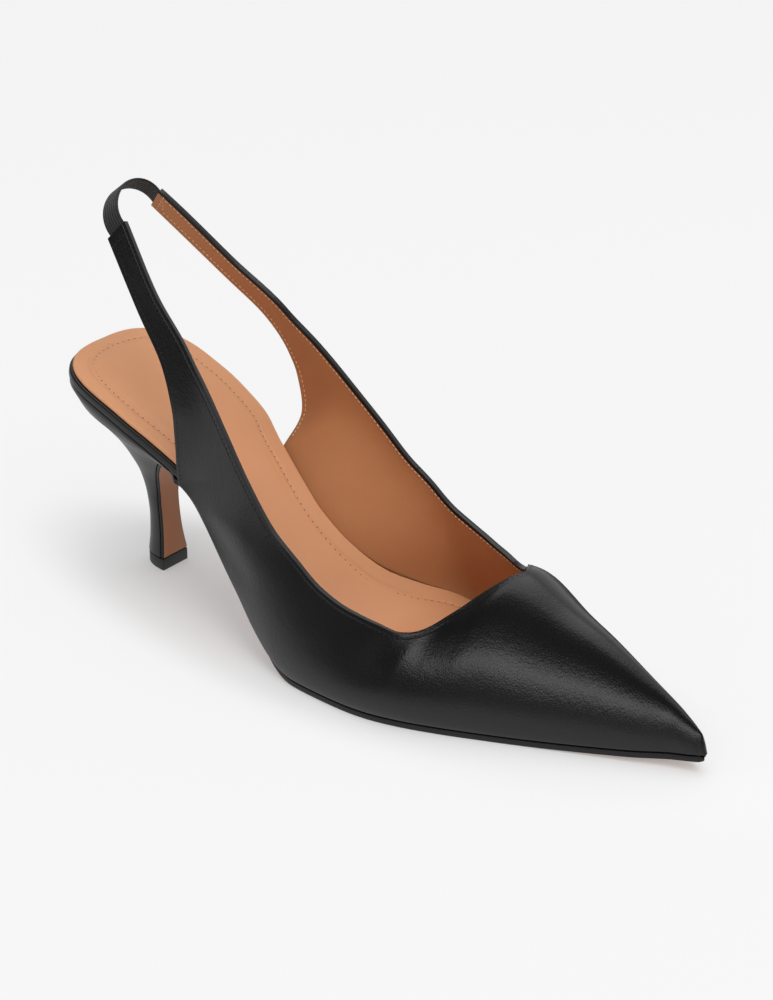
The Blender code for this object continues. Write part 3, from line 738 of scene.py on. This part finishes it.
# Top piece: the hard black wearing piece under the heel, moulded to its outline with a dowel and
# knocked in. Its edge is scoured flush with the cover.
TOP_ROUNDING = 0.00035
top_rubber = plain("top_rubber", (0.016, 0.016, 0.016), (0.010, 0.010, 0.010), 0.55, 1500, 0.00006)
back_x, top_z, front_x, _, half, _ = heel_ring(0)
front_x += GAP + FLAP
outline = []
for i in range(2 * HEEL_SIDES - 1):
    turn = math.pi / 2 * i / (HEEL_SIDES - 1)
    outline.append((mix(front_x, back_x, math.sin(turn)), -half * math.cos(turn)))
rings = [[(x, y, z) for x, y in outline] for z in (0, (top_z - GAP) / 2, top_z - GAP)]
top_piece = new_piece("top_piece_moulded", [p for ring in rings for p in ring],
                      loop_faces(len(rings), len(outline)), [top_rubber])
soften(top_piece, TOP_ROUNDING)
settle(top_piece)
place(top_piece, "top_piece", "top_piece")


# Upper: one piece of black calf with a tan kid lining, its topline folded over and stitched. It
# is pulled over the last and lasted under the insole, with one closing seam at the inner waist.
INSTEP_RISE = 0.044
STRAP_RISE = 0.0553
STRAP_WIDTH = 0.0095
FOOT_GAP = 0.0007
OUTER_END = 0.079
INNER_END = 0.061
PEAK = 0.736
WALL_DROP = 86
WALL_TOP_REACH = 0.34
WALL_FOOT_REACH = 0.22
CREST_DROP = 3
CREST_REACH = 0.62
FOOT_REACH = 0.33
ARC_TRIES = 30
ARC_STEP = 0.8
FAN_SMOOTHING = 0.32
COLUMNS = 38
SPLITS = 14
TOPLINE_ROUNDING = 0.00072
FOLD_LINE = 0.0017
FOLD_FROM = 0.00125
FOLD_TO = 0.00140
FOLD_STEP = 0.0003
SEAM_AT = 0.451
SEAM_WIDTH = 0.0006
SEAM_DEPTH = 0.0003
FOLD_WIDTH = 0.0005
FOLD_DEPTH = 0.00009
# Place along the length, spread, shares of the strap's and the instep's rise, lean.
TOPLINE = (
    (0.061, 0.276, 1.048, 0.000, 0.146), (0.081, 0.325, 1.000, 0.000, 0.143),
    (0.161, 0.509, 0.828, 0.000, 0.120), (0.242, 0.640, 0.725, 0.000, 0.104),
    (0.323, 0.779, 0.500, 0.178, 0.068), (0.403, 0.888, 0.250, 0.480, 0.026),
    (0.484, 0.927, 0.060, 0.762, 0.000), (0.565, 0.909, 0.000, 0.668, 0.000),
    (0.605, 0.855, 0.000, 0.615, 0.000), (0.637, 0.800, 0.000, 0.590, 0.000),
    (0.665, 0.672, 0.000, 0.648, 0.000), (0.685, 0.500, 0.000, 0.745, 0.000),
    (0.710, 0.273, 0.000, 0.898, 0.005), (0.726, 0.130, 0.000, 0.975, 0.010),
    (0.736, 0.000, 0.000, 1.030, 0.013),
)
# Place along the length, then height as a share of the instep's rise.
CREST = (
    (0.736, 1.030), (0.794, 0.822), (0.855, 0.655), (0.911, 0.450), (0.952, 0.290), (0.980, 0.170),
    (0.998, 0.090),
)
# Place of the topline, then back and down from it in strap widths, spread, and what the
# outer side adds to back and spread.
REAR_EDGE = (
    (0.061, 0.65, 0.76, 0.328, 0.00, 0.000), (0.081, 0.65, 0.76, 0.377, 0.00, 0.000),
    (0.161, 0.65, 0.76, 0.560, 0.00, 0.000), (0.226, 0.74, 0.92, 0.690, 0.00, 0.000),
    (0.266, 0.90, 1.38, 0.775, 0.02, 0.005), (0.298, 1.30, 1.60, 0.775, 0.24, 0.022),
    (0.331, 1.86, 2.15, 0.730, 0.52, 0.045),
)
# Place at the top, at the outer and inner foot, outer and inner flare in degrees, share of
# the vamp's arc in the row.
FAN = (
    (0.363, 0.247, 0.270, 8.0, 34.0, 0.00), (0.403, 0.310, 0.323, 16.0, 52.0, 0.00),
    (0.452, 0.382, 0.387, 22.0, 60.0, 0.00), (0.508, 0.463, 0.464, 21.0, 44.0, 0.00),
    (0.565, 0.540, 0.540, 19.0, 20.0, 0.10), (0.617, 0.601, 0.601, 18.0, 18.0, 0.55),
    (0.665, 0.653, 0.653, 18.0, 18.0, 1.00), (0.702, 0.694, 0.694, 18.0, 18.0, 1.00),
    (0.736, 0.730, 0.730, 18.0, 18.0, 1.00), (0.794, 0.794, 0.794, 18.0, 18.0, 1.00),
    (0.855, 0.858, 0.858, 17.0, 17.0, 1.00), (0.911, 0.918, 0.918, 15.0, 15.0, 1.00),
    (0.952, 0.962, 0.962, 12.0, 12.0, 1.00), (0.980, 0.987, 0.987, 9.0, 9.0, 1.00),
    (0.998, 1.000, 1.000, 9.0, 9.0, 1.00),
)
# Side, then place and height of both ends, width, and height out of the leather.
CREASES = (
    (LATERAL, 0.285, 1.06, 0.365, 1.10, 0.0060, 0.00028),
    (LATERAL, 0.305, 0.88, 0.370, 0.70, 0.0060, -0.00032),
    (LATERAL, 0.692, 0.80, 0.722, 0.99, 0.0035, 0.00025),
    (MEDIAL, 0.305, 0.90, 0.370, 0.70, 0.0060, -0.00028),
)
topline_at = curve(TOPLINE)
crest_at = curve(CREST)
rear_at = curve(REAR_EDGE)


def topline(share, side):
    _, spread, strap, instep, lean = topline_at(share)
    z = bed(share * LENGTH) + strap * STRAP_RISE + instep * INSTEP_RISE
    return np.array((share * LENGTH, (side * spread + lean) * HALF, z))


def top_point(share, side):
    """The topline, and beyond its peak the crest of the vamp."""
    if share < PEAK:
        return topline(share, side)
    across = middle_at(share)[1] * HALF
    return np.array((share * LENGTH, across, bed(share * LENGTH) + crest_at(share)[1] * INSTEP_RISE))


def rear_edge_point(row, side):
    share, back, down, spread, outer_back, outer_spread = row
    top = topline(share, side)
    lean = topline_at(share)[4]
    if side == LATERAL:
        back += outer_back
        spread += outer_spread
    return np.array((top[0] - back * STRAP_WIDTH, (side * spread + lean) * HALF,
                     top[2] - down * STRAP_WIDTH))


def feather_point(share, side):
    station = share * (toe_tip(FEATHER) - END_SKIP)
    return edge_point(station, side, board_depth(station) + GAP - FOOT_GAP, FEATHER)


def bezier(controls, t):
    a, b, c, d = controls
    return a * (1 - t) ** 3 + 3 * b * t * (1 - t) ** 2 + 3 * c * t * t * (1 - t) + d * t ** 3


def cubic(*controls):
    return bezier(controls, np.linspace(0, 1, COLUMNS)[:, None])


def wall_row(top, foot, side, flare):
    """Points down a quarter, from its steep topline to the foot, as one cubic curve."""
    chord = foot - top
    long = np.linalg.norm(chord)
    out = side * math.sin(math.radians(flare))
    up = math.cos(math.radians(flare))
    drop = math.radians(WALL_DROP)
    reach = WALL_TOP_REACH * long
    first = np.array((chord[0] / 3, side * math.cos(drop) * reach, -math.sin(drop) * reach))
    second = np.array((-chord[0] / 3, out * WALL_FOOT_REACH * long, up * WALL_FOOT_REACH * long))
    return cubic(top, top + first, foot + second, foot)


def vault(rise, foot, side, flare, middle):
    """Across and height controls of an arc over the vamp, from its own crest to the foot."""
    flare = math.radians(flare)
    drop = math.radians(CREST_DROP)
    reach = CREST_REACH * abs(foot[1] - middle)
    low_reach = FOOT_REACH * abs(foot[2] - rise)
    ys = (middle, middle + side * math.cos(drop) * reach,
          foot[1] + side * math.sin(flare) * low_reach, foot[1])
    zs = (rise, rise - math.sin(drop) * reach, foot[2] + math.cos(flare) * low_reach, foot[2])
    return ys, zs


def cut_at(ys, across, side):
    """Place on an arc where the topline or the crest cuts it."""
    cut, beyond = 0.0, 1.0
    for _ in range(ARC_TRIES):
        half_way = (cut + beyond) / 2
        if side * (bezier(ys, half_way) - across) < 0:
            cut = half_way
        else:
            beyond = half_way
    return cut


def vault_rise(top, foot, side, flare, middle):
    """Height of the crest of the arc that passes through the topline."""
    rise = top[2]
    for _ in range(ARC_TRIES):
        ys, zs = vault(rise, foot, side, flare, middle)
        rise += (top[2] - bezier(zs, cut_at(ys, top[1], side))) * ARC_STEP
    return rise


def smoothed(values):
    """Heights along the fan, each drawn towards its neighbours."""
    for _ in range(round(2 * (FAN_SMOOTHING * SPLITS) ** 2)):
        inside = [(a + 2 * b + c) / 4 for a, b, c in zip(values, values[1:], values[2:])]
        values = [values[0], *inside, values[-1]]
    return values


def vamp_row(top, foot, side, flare, middle, rise):
    """Points down an arc over the whole vamp, from where the topline or the crest cuts it."""
    ys, zs = vault(rise, foot, side, flare, middle)
    u = np.linspace(0, 1, COLUMNS)
    t = mix(cut_at(ys, top[1], side), 1, u)
    return np.stack([mix(top[0], foot[0], u), bezier(ys, t), bezier(zs, t)], axis=1)


def half_upper(side):
    """Rows of one side, from the strap's end to the tip of the toe."""
    outer = side == LATERAL
    end = OUTER_END if outer else INNER_END
    fan = [(j, row[0], row[1] if outer else row[2], row[3] if outer else row[4], row[5])
           for j, row in enumerate(FAN)]
    corner_top, corner_foot, corner_flare = fan[0][1:4]
    keys = [(end, *rear_edge_point(rear_at(end), side))]
    keys += [(row[0], *rear_edge_point(row, side)) for row in REAR_EDGE[2:]]
    keys.append((corner_top, *feather_point(corner_foot, side)))
    key_at = curve([(j, *key) for j, key in enumerate(keys)])
    fan_at = curve(fan)
    last = len(keys) - 1
    rows = []
    for i in range(last * SPLITS):
        key = key_at(i / SPLITS)
        top, foot = topline(key[1], side), key[2:]
        chord = foot - top
        flat = cubic(top, top + chord / 3, top + chord * 2 / 3, foot)
        bent = wall_row(top, foot, side, corner_flare)
        rows.append(flat + (bent - flat) * ease((i / SPLITS - 2) / (last - 2)))
    arcs = []
    for i in range((len(fan) - 1) * SPLITS + 1):
        _, top, foot, flare, vamp = fan_at(i / SPLITS)
        middle = middle_at(max(top, PEAK))[1] * HALF
        arcs.append((top_point(top, side), feather_point(foot, side), side, flare, middle, vamp))
    rises = smoothed([vault_rise(*arc[:5]) for arc in arcs])
    for (top, foot, _, flare, middle, vamp), rise in zip(arcs, rises):
        wall = wall_row(top, foot, side, flare)
        arc = vamp_row(top, foot, side, flare, middle, rise)
        rows.append(wall + (arc - wall) * min(vamp, 1.0))
    return np.array(rows)


def outward(rows, side):
    """The way out of the leather at each point of the rows."""
    normal = np.cross(np.gradient(rows, axis=0), np.gradient(rows, axis=1)) * side
    return normal / np.maximum(np.linalg.norm(normal, axis=2, keepdims=True), 1e-12)


def creased(rows, side):
    """The rows with the soft troughs and ridges of one side, each along its own line."""
    normal = outward(rows, side)
    hold = np.sqrt(np.sin(np.linspace(0, math.pi, COLUMNS)).clip(0))
    for where, x_from, z_from, x_to, z_to, width, height in CREASES:
        if where != side:
            continue
        start = np.array((x_from * LENGTH, z_from * INSTEP_RISE))
        along = np.array((x_to * LENGTH, z_to * INSTEP_RISE)) - start
        gap = rows[..., (0, 2)] - start
        t = np.clip(gap @ along / (along @ along), 0, 1)
        off = np.linalg.norm(gap - t[..., None] * along, axis=2)
        rows = rows + normal * (height * hold * np.exp(-(off / width) ** 2))[..., None]
    return rows


upper_calf = leather("upper_calf", (0.0050, 0.0050, 0.0054), (0.0030, 0.0030, 0.0034), 0.6, 1500, 0.31,
                     0.08, 0.00006, coat=0.12)
add_groove(upper_calf, "seam", 0, SEAM_WIDTH, SEAM_DEPTH)
add_groove(upper_calf, "rim", FOLD_LINE, FOLD_WIDTH, FOLD_DEPTH)
LINING_TONE = (0.440, 0.176, 0.072)
LINING_SHADE = (0.370, 0.140, 0.055)
FOLDED_CALF = (0.0105, 0.0105, 0.011)
lining_kid = leather("lining_kid", LINING_TONE, LINING_SHADE, 0.6, 1700, 0.60, 0.10, 0.00004)
tree = lining_kid.node_tree
shader = tree.nodes["Principled BSDF"]
shader.inputs["Specular IOR Level"].default_value = 0.2
folded = span(tree, attribute(tree, "rim"), FOLD_FROM, FOLD_TO, 1, 0, soft=False)
lined = blended(tree, folded, tree.nodes["grain"].outputs["Color"], FOLDED_CALF)
tree.links.new(lined, shader.inputs["Base Color"])
step = node_at(tree, "ShaderNodeBump", Height=folded, Distance=FOLD_STEP)
tree.links.new(step.outputs["Normal"], tree.nodes["relief"].inputs["Normal"])

halves = {side: creased(half_upper(side), side) for side in (LATERAL, MEDIAL)}
last_row = len(halves[LATERAL]) - 1
peak_row = int(np.argmax(halves[LATERAL][:, 0, 0] >= PEAK * LENGTH - 1e-6))
points = []
index = {}
for side in (LATERAL, MEDIAL):
    for i, row in enumerate(halves[side]):
        for j, point in enumerate(row):
            shared = (j == 0 and i >= peak_row) or i == last_row
            if shared and side == MEDIAL:
                index[side, i, j] = index[LATERAL, i, j]
                continue
            index[side, i, j] = len(points)
            points.append(point)
faces = []
for side in (LATERAL, MEDIAL):
    for i in range(last_row):
        for j in range(COLUMNS - 1):
            face = (index[side, i, j], index[side, i + 1, j], index[side, i + 1, j + 1],
                    index[side, i, j + 1])
            faces.append(face if side == MEDIAL else face[::-1])
upper = new_piece("upper_calf_lined", points, faces, [upper_calf, lining_kid], turned=False)
corner_row = (len(REAR_EDGE) - 1) * SPLITS
toplines = [halves[side][:peak_row + 1, 0] for side in (LATERAL, MEDIAL)]
points = np.array(points)
rim = np.minimum(*(distance_to(points, path) for path in toplines))
seam_row = int(np.argmin(abs(halves[MEDIAL][corner_row:, 0, 0] - SEAM_AT * LENGTH))) + corner_row
set_attribute(upper, "rim", rim)
set_attribute(upper, "seam", distance_to(points, halves[MEDIAL][seam_row]))
shell = upper.modifiers.new("wall", "SOLIDIFY")
shell.thickness = WALL
shell.offset = -1
shell.use_even_offset = True
shell.use_rim = True
shell.material_offset = 1
shell.material_offset_rim = 0
soften(upper, TOPLINE_ROUNDING)
settle(upper)
place(upper, "upper", "upper")


# Lasting margin: the lower edge of the lining and calf, drawn in under the insole and cemented
# there. It closes the upper's foot all round.
MARGIN_IN = 0.72
MARGIN_SKIN = 0.0003
MARGIN_THICK = 0.0001
MARGIN_DROP = 0.0001
margin_kid = leather("margin_kid", LINING_SHADE, LINING_SHADE, 0.5, 1700, 0.60, 0.10, 0.00004)
for side, name, column in ((LATERAL, "lasting_margin_outer", 1), (MEDIAL, "lasting_margin_inner", 2)):
    rows = halves[side]
    normal = outward(rows, side)
    first = len(rows) - (len(FAN) - 1) * SPLITS - 1
    foot_at = curve([(j, row[column]) for j, row in enumerate(FAN)])
    loops = []
    for i in range(first, len(rows) - 1):
        station = foot_at((i - first) / SPLITS)[1] * (toe_tip(FEATHER) - END_SKIP)
        strips = []
        for thick in (0, MARGIN_THICK):
            inside = WALL - MARGIN_SKIN - thick
            under = board_depth(station) + MARGIN_DROP + thick
            across = edge_across(station, side, 0)
            strips.append([rows[i, -3] - normal[i, -3] * inside, rows[i, -1] - normal[i, -1] * inside,
                           sole_point(station, across, under),
                           sole_point(station, across * MARGIN_IN, under)])
        loops.append(strips[0] + strips[1][::-1])
    faces = loop_faces(len(loops), len(loops[0]))
    shares = [1 if i % len(loops[0]) < 3 and i < len(faces) - 2 else 0 for i in range(len(faces))]
    margin = new_piece(name, [p for loop in loops for p in loop], faces, [rim_calf, margin_kid], shares)
    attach(margin, "root")


# Elastic: a short black webbing loop behind the heel, woven with lengthwise ribs. Its ends are
# sewn in between the leather and the lining of both straps.
ELASTIC_WIDTH = 0.0076
ELASTIC = 0.0012
ELASTIC_REACH = 0.86
ELASTIC_ROWS = 150
ELASTIC_RIBS = 7
RIB_HEIGHT = 0.00016
TUCK = 0.0006
PICK = 0.0007
WEAVE_DEPTH = 0.00008
ELASTIC_EDGE = 0.14
webbing, tree, shader = new_material("webbing_black")
shader.inputs["Roughness"].default_value = 0.62
shader.inputs["Sheen Weight"].default_value = 0.15
ribs = link_math(tree, "MULTIPLY", attribute(tree, "across"), 2 * math.pi * ELASTIC_RIBS)
picks = link_math(tree, "MULTIPLY", attribute(tree, "along"), 2 * math.pi / PICK)
ribs = link_math(tree, "MULTIPLY", link_math(tree, "SINE", ribs), 0.4)
picks = link_math(tree, "MULTIPLY", link_math(tree, "SINE", picks), 0.35)
weave = link_math(tree, "ADD", ribs, picks)
bump = node_at(tree, "ShaderNodeBump", Height=weave, Distance=WEAVE_DEPTH)
tree.links.new(bump.outputs["Normal"], shader.inputs["Normal"])
# The webbing's colour follows the weave's height, darker in the hollows between ribs and picks and lighter
# on their tops: painted shade and sheen.
weave_painted_shade = blended(tree, link_math(tree, "ADD", weave, 0.5), (0.006, 0.006, 0.006), (0.020, 0.020, 0.021))
tree.links.new(weave_painted_shade, shader.inputs["Base Color"])

_, back, down = REAR_EDGE[0][:3]
tall = math.hypot(back, down)
high_way = np.array((back, 0, down)) / tall
back_way = np.array((-down, 0, back)) / tall
tops = [topline(OUTER_END, LATERAL), topline(INNER_END, MEDIAL)]
lows = [rear_edge_point(rear_at(OUTER_END), LATERAL), rear_edge_point(rear_at(INNER_END), MEDIAL)]
ends = [(top + low) / 2 for top, low in zip(tops, lows)]
middle = (ends[0] + ends[1]) / 2
shift = (ends[1] - ends[0]) @ back_way / 2
half = (ends[1] - ends[0])[1] / 2 - WALL / 2
flare = ((lows[1] - lows[0])[1] - (tops[1] - tops[0])[1]) / 2 / (tall * STRAP_WIDTH)
RIB_POINTS = 6 * ELASTIC_RIBS + 1
section = []
for out in (1, -1):
    for k in range(RIB_POINTS):
        v = k / (RIB_POINTS - 1) * 2 - 1
        v = v if out == 1 else -v
        rib = RIB_HEIGHT * (0.5 - 0.5 * math.cos(2 * math.pi * ELASTIC_RIBS * (v + 1) / 2))
        edge_in = max(abs(v) - 1 + ELASTIC_EDGE, 0) / ELASTIC_EDGE
        thin = math.sqrt(max(1 - edge_in ** 2, 0.04))
        section.append((v, out * (ELASTIC / 2 * thin - RIB_HEIGHT + rib)))
rows = []
turns = [math.pi * (i / (ELASTIC_ROWS - 1) - 0.5) for i in range(ELASTIC_ROWS)]
tucked = GAP + TUCK
for i, turn in enumerate(turns):
    forward = tucked if i in (0, ELASTIC_ROWS - 1) else 0
    row = []
    for v, out in section:
        radius = half + out - v * flare * ELASTIC_WIDTH / 2
        back_off = GAP + radius * ELASTIC_REACH * math.cos(turn) + shift * math.sin(turn) - forward
        row.append(middle + back_way * back_off + high_way * v * ELASTIC_WIDTH / 2
                   + np.array((0, radius * math.sin(turn), 0)))
    rows.append(row)
elastic = new_piece("elastic_webbing", [p for row in rows for p in row],
                    loop_faces(len(rows), len(section)), [webbing])
elastic.data.set_sharp_from_angle(angle=math.radians(60))
lengths = np.concatenate([[0], np.cumsum([np.linalg.norm(rows[i + 1][0] - rows[i][0])
                                          for i in range(len(rows) - 1)])])
set_attribute(elastic, "along", np.repeat(lengths, len(section)))
set_attribute(elastic, "across", np.tile([(v + 1) / 2 for v, _ in section], len(rows)))
place(elastic, "elastic", "elastic")


# Topline stitching: a row of thread just below the folded edge, tan on the lining and black on
# the calf. It holds the fold, and runs round the straps and down the back of the quarters.
STITCH_INSET = 0.0019
STITCH_PITCH = 0.0017
STITCH_PROUD = 0.00002
LINING_STITCH = (0.00120, 0.00036, 0.00032)
CALF_STITCH = (0.00115, 0.00028, 0.00022)
thread_tan = plain("thread_tan", (0.72, 0.47, 0.29), (0.60, 0.37, 0.22), 0.6, 2500, 0.00002)
thread_black = plain("thread_black", (0.012, 0.012, 0.012), (0.022, 0.022, 0.022), 0.5, 2500, 0.00002)


def inset_path(side, inset, depth):
    """A path at one distance from the topline and the rear edge, at a depth below the calf."""
    rows = halves[side]
    normal = outward(rows, side)
    steps = np.linalg.norm(np.diff(rows, axis=1), axis=2)
    runs = np.concatenate([np.zeros((len(rows), 1)), np.cumsum(steps, axis=1)], axis=1)

    def at(i, run):
        j = min(max(int(np.searchsorted(runs[i], run)) - 1, 0), COLUMNS - 2)
        t = (run - runs[i, j]) / max(runs[i, j + 1] - runs[i, j], 1e-9)
        way = mix(normal[i, j], normal[i, j + 1], t)
        return mix(rows[i, j], rows[i, j + 1], t), way / np.linalg.norm(way)

    first = int(np.argmax(np.linalg.norm(rows[:, 0] - rows[0, 0], axis=1) >= inset))
    stops = [at(i, runs[i, -1] - inset) for i in range(corner_row - 4, first, -1)]
    stops += [at(i, inset) for i in range(first, peak_row + 1)]
    return [point - way * depth for point, way in stops], [way for _, way in stops]


for side, name in ((LATERAL, "outer"), (MEDIAL, "inner")):
    path, ups = inset_path(side, STITCH_INSET, WALL + STITCH_PROUD)
    row_of("topline_stitches_lining_" + name, path, ups, thread_tan, STITCH_PITCH, LINING_STITCH)
    path, ups = inset_path(side, STITCH_INSET, -STITCH_PROUD)
    row_of("topline_stitches_calf_" + name, path, ups, thread_black, STITCH_PITCH, CALF_STITCH)


# Strap tacks: the row of stitches across each strap that holds the webbing, black on the calf and
# tan on the lining.
TACK_AT = 0.0024
TACK_PITCH = 0.0013
TACK_SIZE = (0.001, 0.00034, 0.0003)
for side, name in ((LATERAL, "outer"), (MEDIAL, "inner")):
    rows = halves[side]
    i = int(np.argmax(np.linalg.norm(rows[:, 0] - rows[0, 0], axis=1) > TACK_AT))
    across = slice(5, COLUMNS - 5)
    way = outward(rows, side)[i, across]
    for face, made, depth in (("calf", thread_black, -STITCH_PROUD),
                              ("lining", thread_tan, WALL + STITCH_PROUD)):
        row_of("strap_tacks_" + face + "_" + name, rows[i, across] - way * depth, way, made, TACK_PITCH,
               TACK_SIZE)


# Floor, light and camera: a plain pale floor under soft studio light. In mirrored rays the floor
# glows only close to the shoe and behind the heel, which keeps the leather's lower walls dark, and
# to the camera it is blended with an even glow that makes the ground flat and its shadows pale.
FLOOR_HALF = 4.0
ROOM_LIGHT = 0.50
ROOM_GLOSS = 0.04
SWEEP_GLOSS = 0.75
SWEEP_FROM = -0.1
SWEEP_TO = 0.7
FLOOR_NEAR = 0.68
FLOOR_TONE = (0.928, 0.928, 0.928, 1)
ROOM_TONE = (0.913, 0.913, 0.913, 1)
WHITE = (1, 1, 1, 1)
FLOOR_LIFT = 0.85
FLOOR_LIFT_NEAR = 0.30
SHADE_FROM = 0.040
SHADE_TO = 0.058
BEHIND_FROM = 0.02
BEHIND_TO = -0.08
FLOOR_FAR = 0.10
SHOE_MIDDLE = 0.10
NEAR_LONG = 0.33
NEAR_WIDE = 1.0
NEAR_FROM = 0.045
NEAR_TO = 0.095
mesh = bpy.data.meshes.new("floor")
mesh.from_pydata([(-FLOOR_HALF, -FLOOR_HALF, 0), (FLOOR_HALF, -FLOOR_HALF, 0),
                  (FLOOR_HALF, FLOOR_HALF, 0), (-FLOOR_HALF, FLOOR_HALF, 0)], [], [(0, 1, 2, 3)])
floor = bpy.data.objects.new("floor", mesh)
bpy.context.scene.collection.objects.link(floor)
floor_paper, tree, paper = new_material("floor_paper")
paper.inputs["Base Color"].default_value = (0.86, 0.86, 0.86, 1)
paper.inputs["Roughness"].default_value = 0.9
paper.inputs["Specular IOR Level"].default_value = 0.1
spot = tree.nodes.new("ShaderNodeTexCoord").outputs["Object"]
off_shoe = node_at(tree, "ShaderNodeMapping", Vector=spot, Scale=(NEAR_LONG, NEAR_WIDE, 0),
                   Location=(-SHOE_MIDDLE * NEAR_LONG, 0, 0))
reach = tree.nodes.new("ShaderNodeVectorMath")
reach.operation = "LENGTH"
tree.links.new(off_shoe.outputs["Vector"], reach.inputs[0])
far = reach.outputs["Value"]
back = node_at(tree, "ShaderNodeSeparateXYZ", Vector=spot).outputs["X"]
glow = link_math(tree, "MAXIMUM", span(tree, far, NEAR_FROM, NEAR_TO, FLOOR_NEAR, FLOOR_FAR),
                 span(tree, back, BEHIND_FROM, BEHIND_TO, 0, FLOOR_NEAR))
mirrored = node_at(tree, "ShaderNodeEmission", Strength=glow)
even = node_at(tree, "ShaderNodeEmission", Color=FLOOR_TONE)
ray = tree.nodes.new("ShaderNodeLightPath").outputs


def mixed(tree, share, one, other):
    """A shader between two."""
    mixer = tree.nodes.new("ShaderNodeMixShader")
    for socket, value in zip(mixer.inputs, (share, one, other)):
        tree.links.new(value, socket)
    return mixer.outputs["Shader"]


both = mixed(tree, ray["Is Glossy Ray"], paper.outputs["BSDF"], mirrored.outputs["Emission"])
clear = span(tree, far, SHADE_FROM, SHADE_TO, FLOOR_LIFT_NEAR, FLOOR_LIFT)
lifted = link_math(tree, "MULTIPLY", ray["Is Camera Ray"], clear)
tree.links.new(mixed(tree, lifted, both, even.outputs["Emission"]),
               tree.nodes["Material Output"].inputs["Surface"])
mesh.materials.append(floor_paper)

world = bpy.data.worlds.new("studio")
bpy.context.scene.world = world
world.use_nodes = True
tree = world.node_tree
tree.nodes.clear()
ray = tree.nodes.new("ShaderNodeLightPath").outputs
seen = node_at(tree, "ShaderNodeBackground", Color=ROOM_TONE)
soft = node_at(tree, "ShaderNodeBackground", Color=WHITE, Strength=ROOM_LIGHT)
way = tree.nodes.new("ShaderNodeTexCoord").outputs["Generated"]
side = node_at(tree, "ShaderNodeSeparateXYZ", Vector=way).outputs["Y"]
sweep = span(tree, side, SWEEP_FROM, SWEEP_TO, ROOM_GLOSS, SWEEP_GLOSS)
dark = node_at(tree, "ShaderNodeBackground", Color=WHITE, Strength=sweep)
room = mixed(tree, ray["Is Glossy Ray"], soft.outputs[0], dark.outputs[0])
tree.links.new(mixed(tree, ray["Is Camera Ray"], room, seen.outputs[0]),
               tree.nodes.new("ShaderNodeOutputWorld").inputs["Surface"])


def softbox(name, place_at, aim, width, height, power, glossy=True):
    """A soft rectangular light, turned towards a point."""
    lamp = bpy.data.lights.new(name, "AREA")
    lamp.shape = "RECTANGLE"
    lamp.size = width
    lamp.size_y = height
    lamp.energy = power
    body = bpy.data.objects.new(name, lamp)
    bpy.context.scene.collection.objects.link(body)
    body.location = place_at
    body.visible_camera = False
    body.visible_glossy = glossy
    body.rotation_euler = (Vector(aim) - Vector(place_at)).to_track_quat("-Z", "Y").to_euler()


softbox("overhead", (0.05, 0.15, 1.6), (0.10, 0.0, 0.0), 1.5, 1.5, 10.0)
softbox("key", (0.60, -1.13, 0.27), (0.17, -0.02, 0.03), 0.7, 0.22, 1.9)
softbox("fill", (0.95, -0.35, 1.15), (0.10, 0.0, 0.03), 0.9, 0.9, 8.0, glossy=False)

CAMERA_AT = (0.6102, -0.6161, 0.4638)
CAMERA_AIM = (0.1010, 0.0010, 0.0560)
LENS = 100
lens = bpy.data.cameras.new("camera")
lens.lens = LENS
lens.sensor_width = 36
lens.clip_start = 0.01
camera = bpy.data.objects.new("camera", lens)
bpy.context.scene.collection.objects.link(camera)
camera.location = CAMERA_AT
camera.rotation_euler = (Vector(CAMERA_AIM) - Vector(CAMERA_AT)).to_track_quat("-Z", "Y").to_euler()
bpy.context.scene.camera = camera
bpy.context.scene.view_settings.view_transform = "Standard"
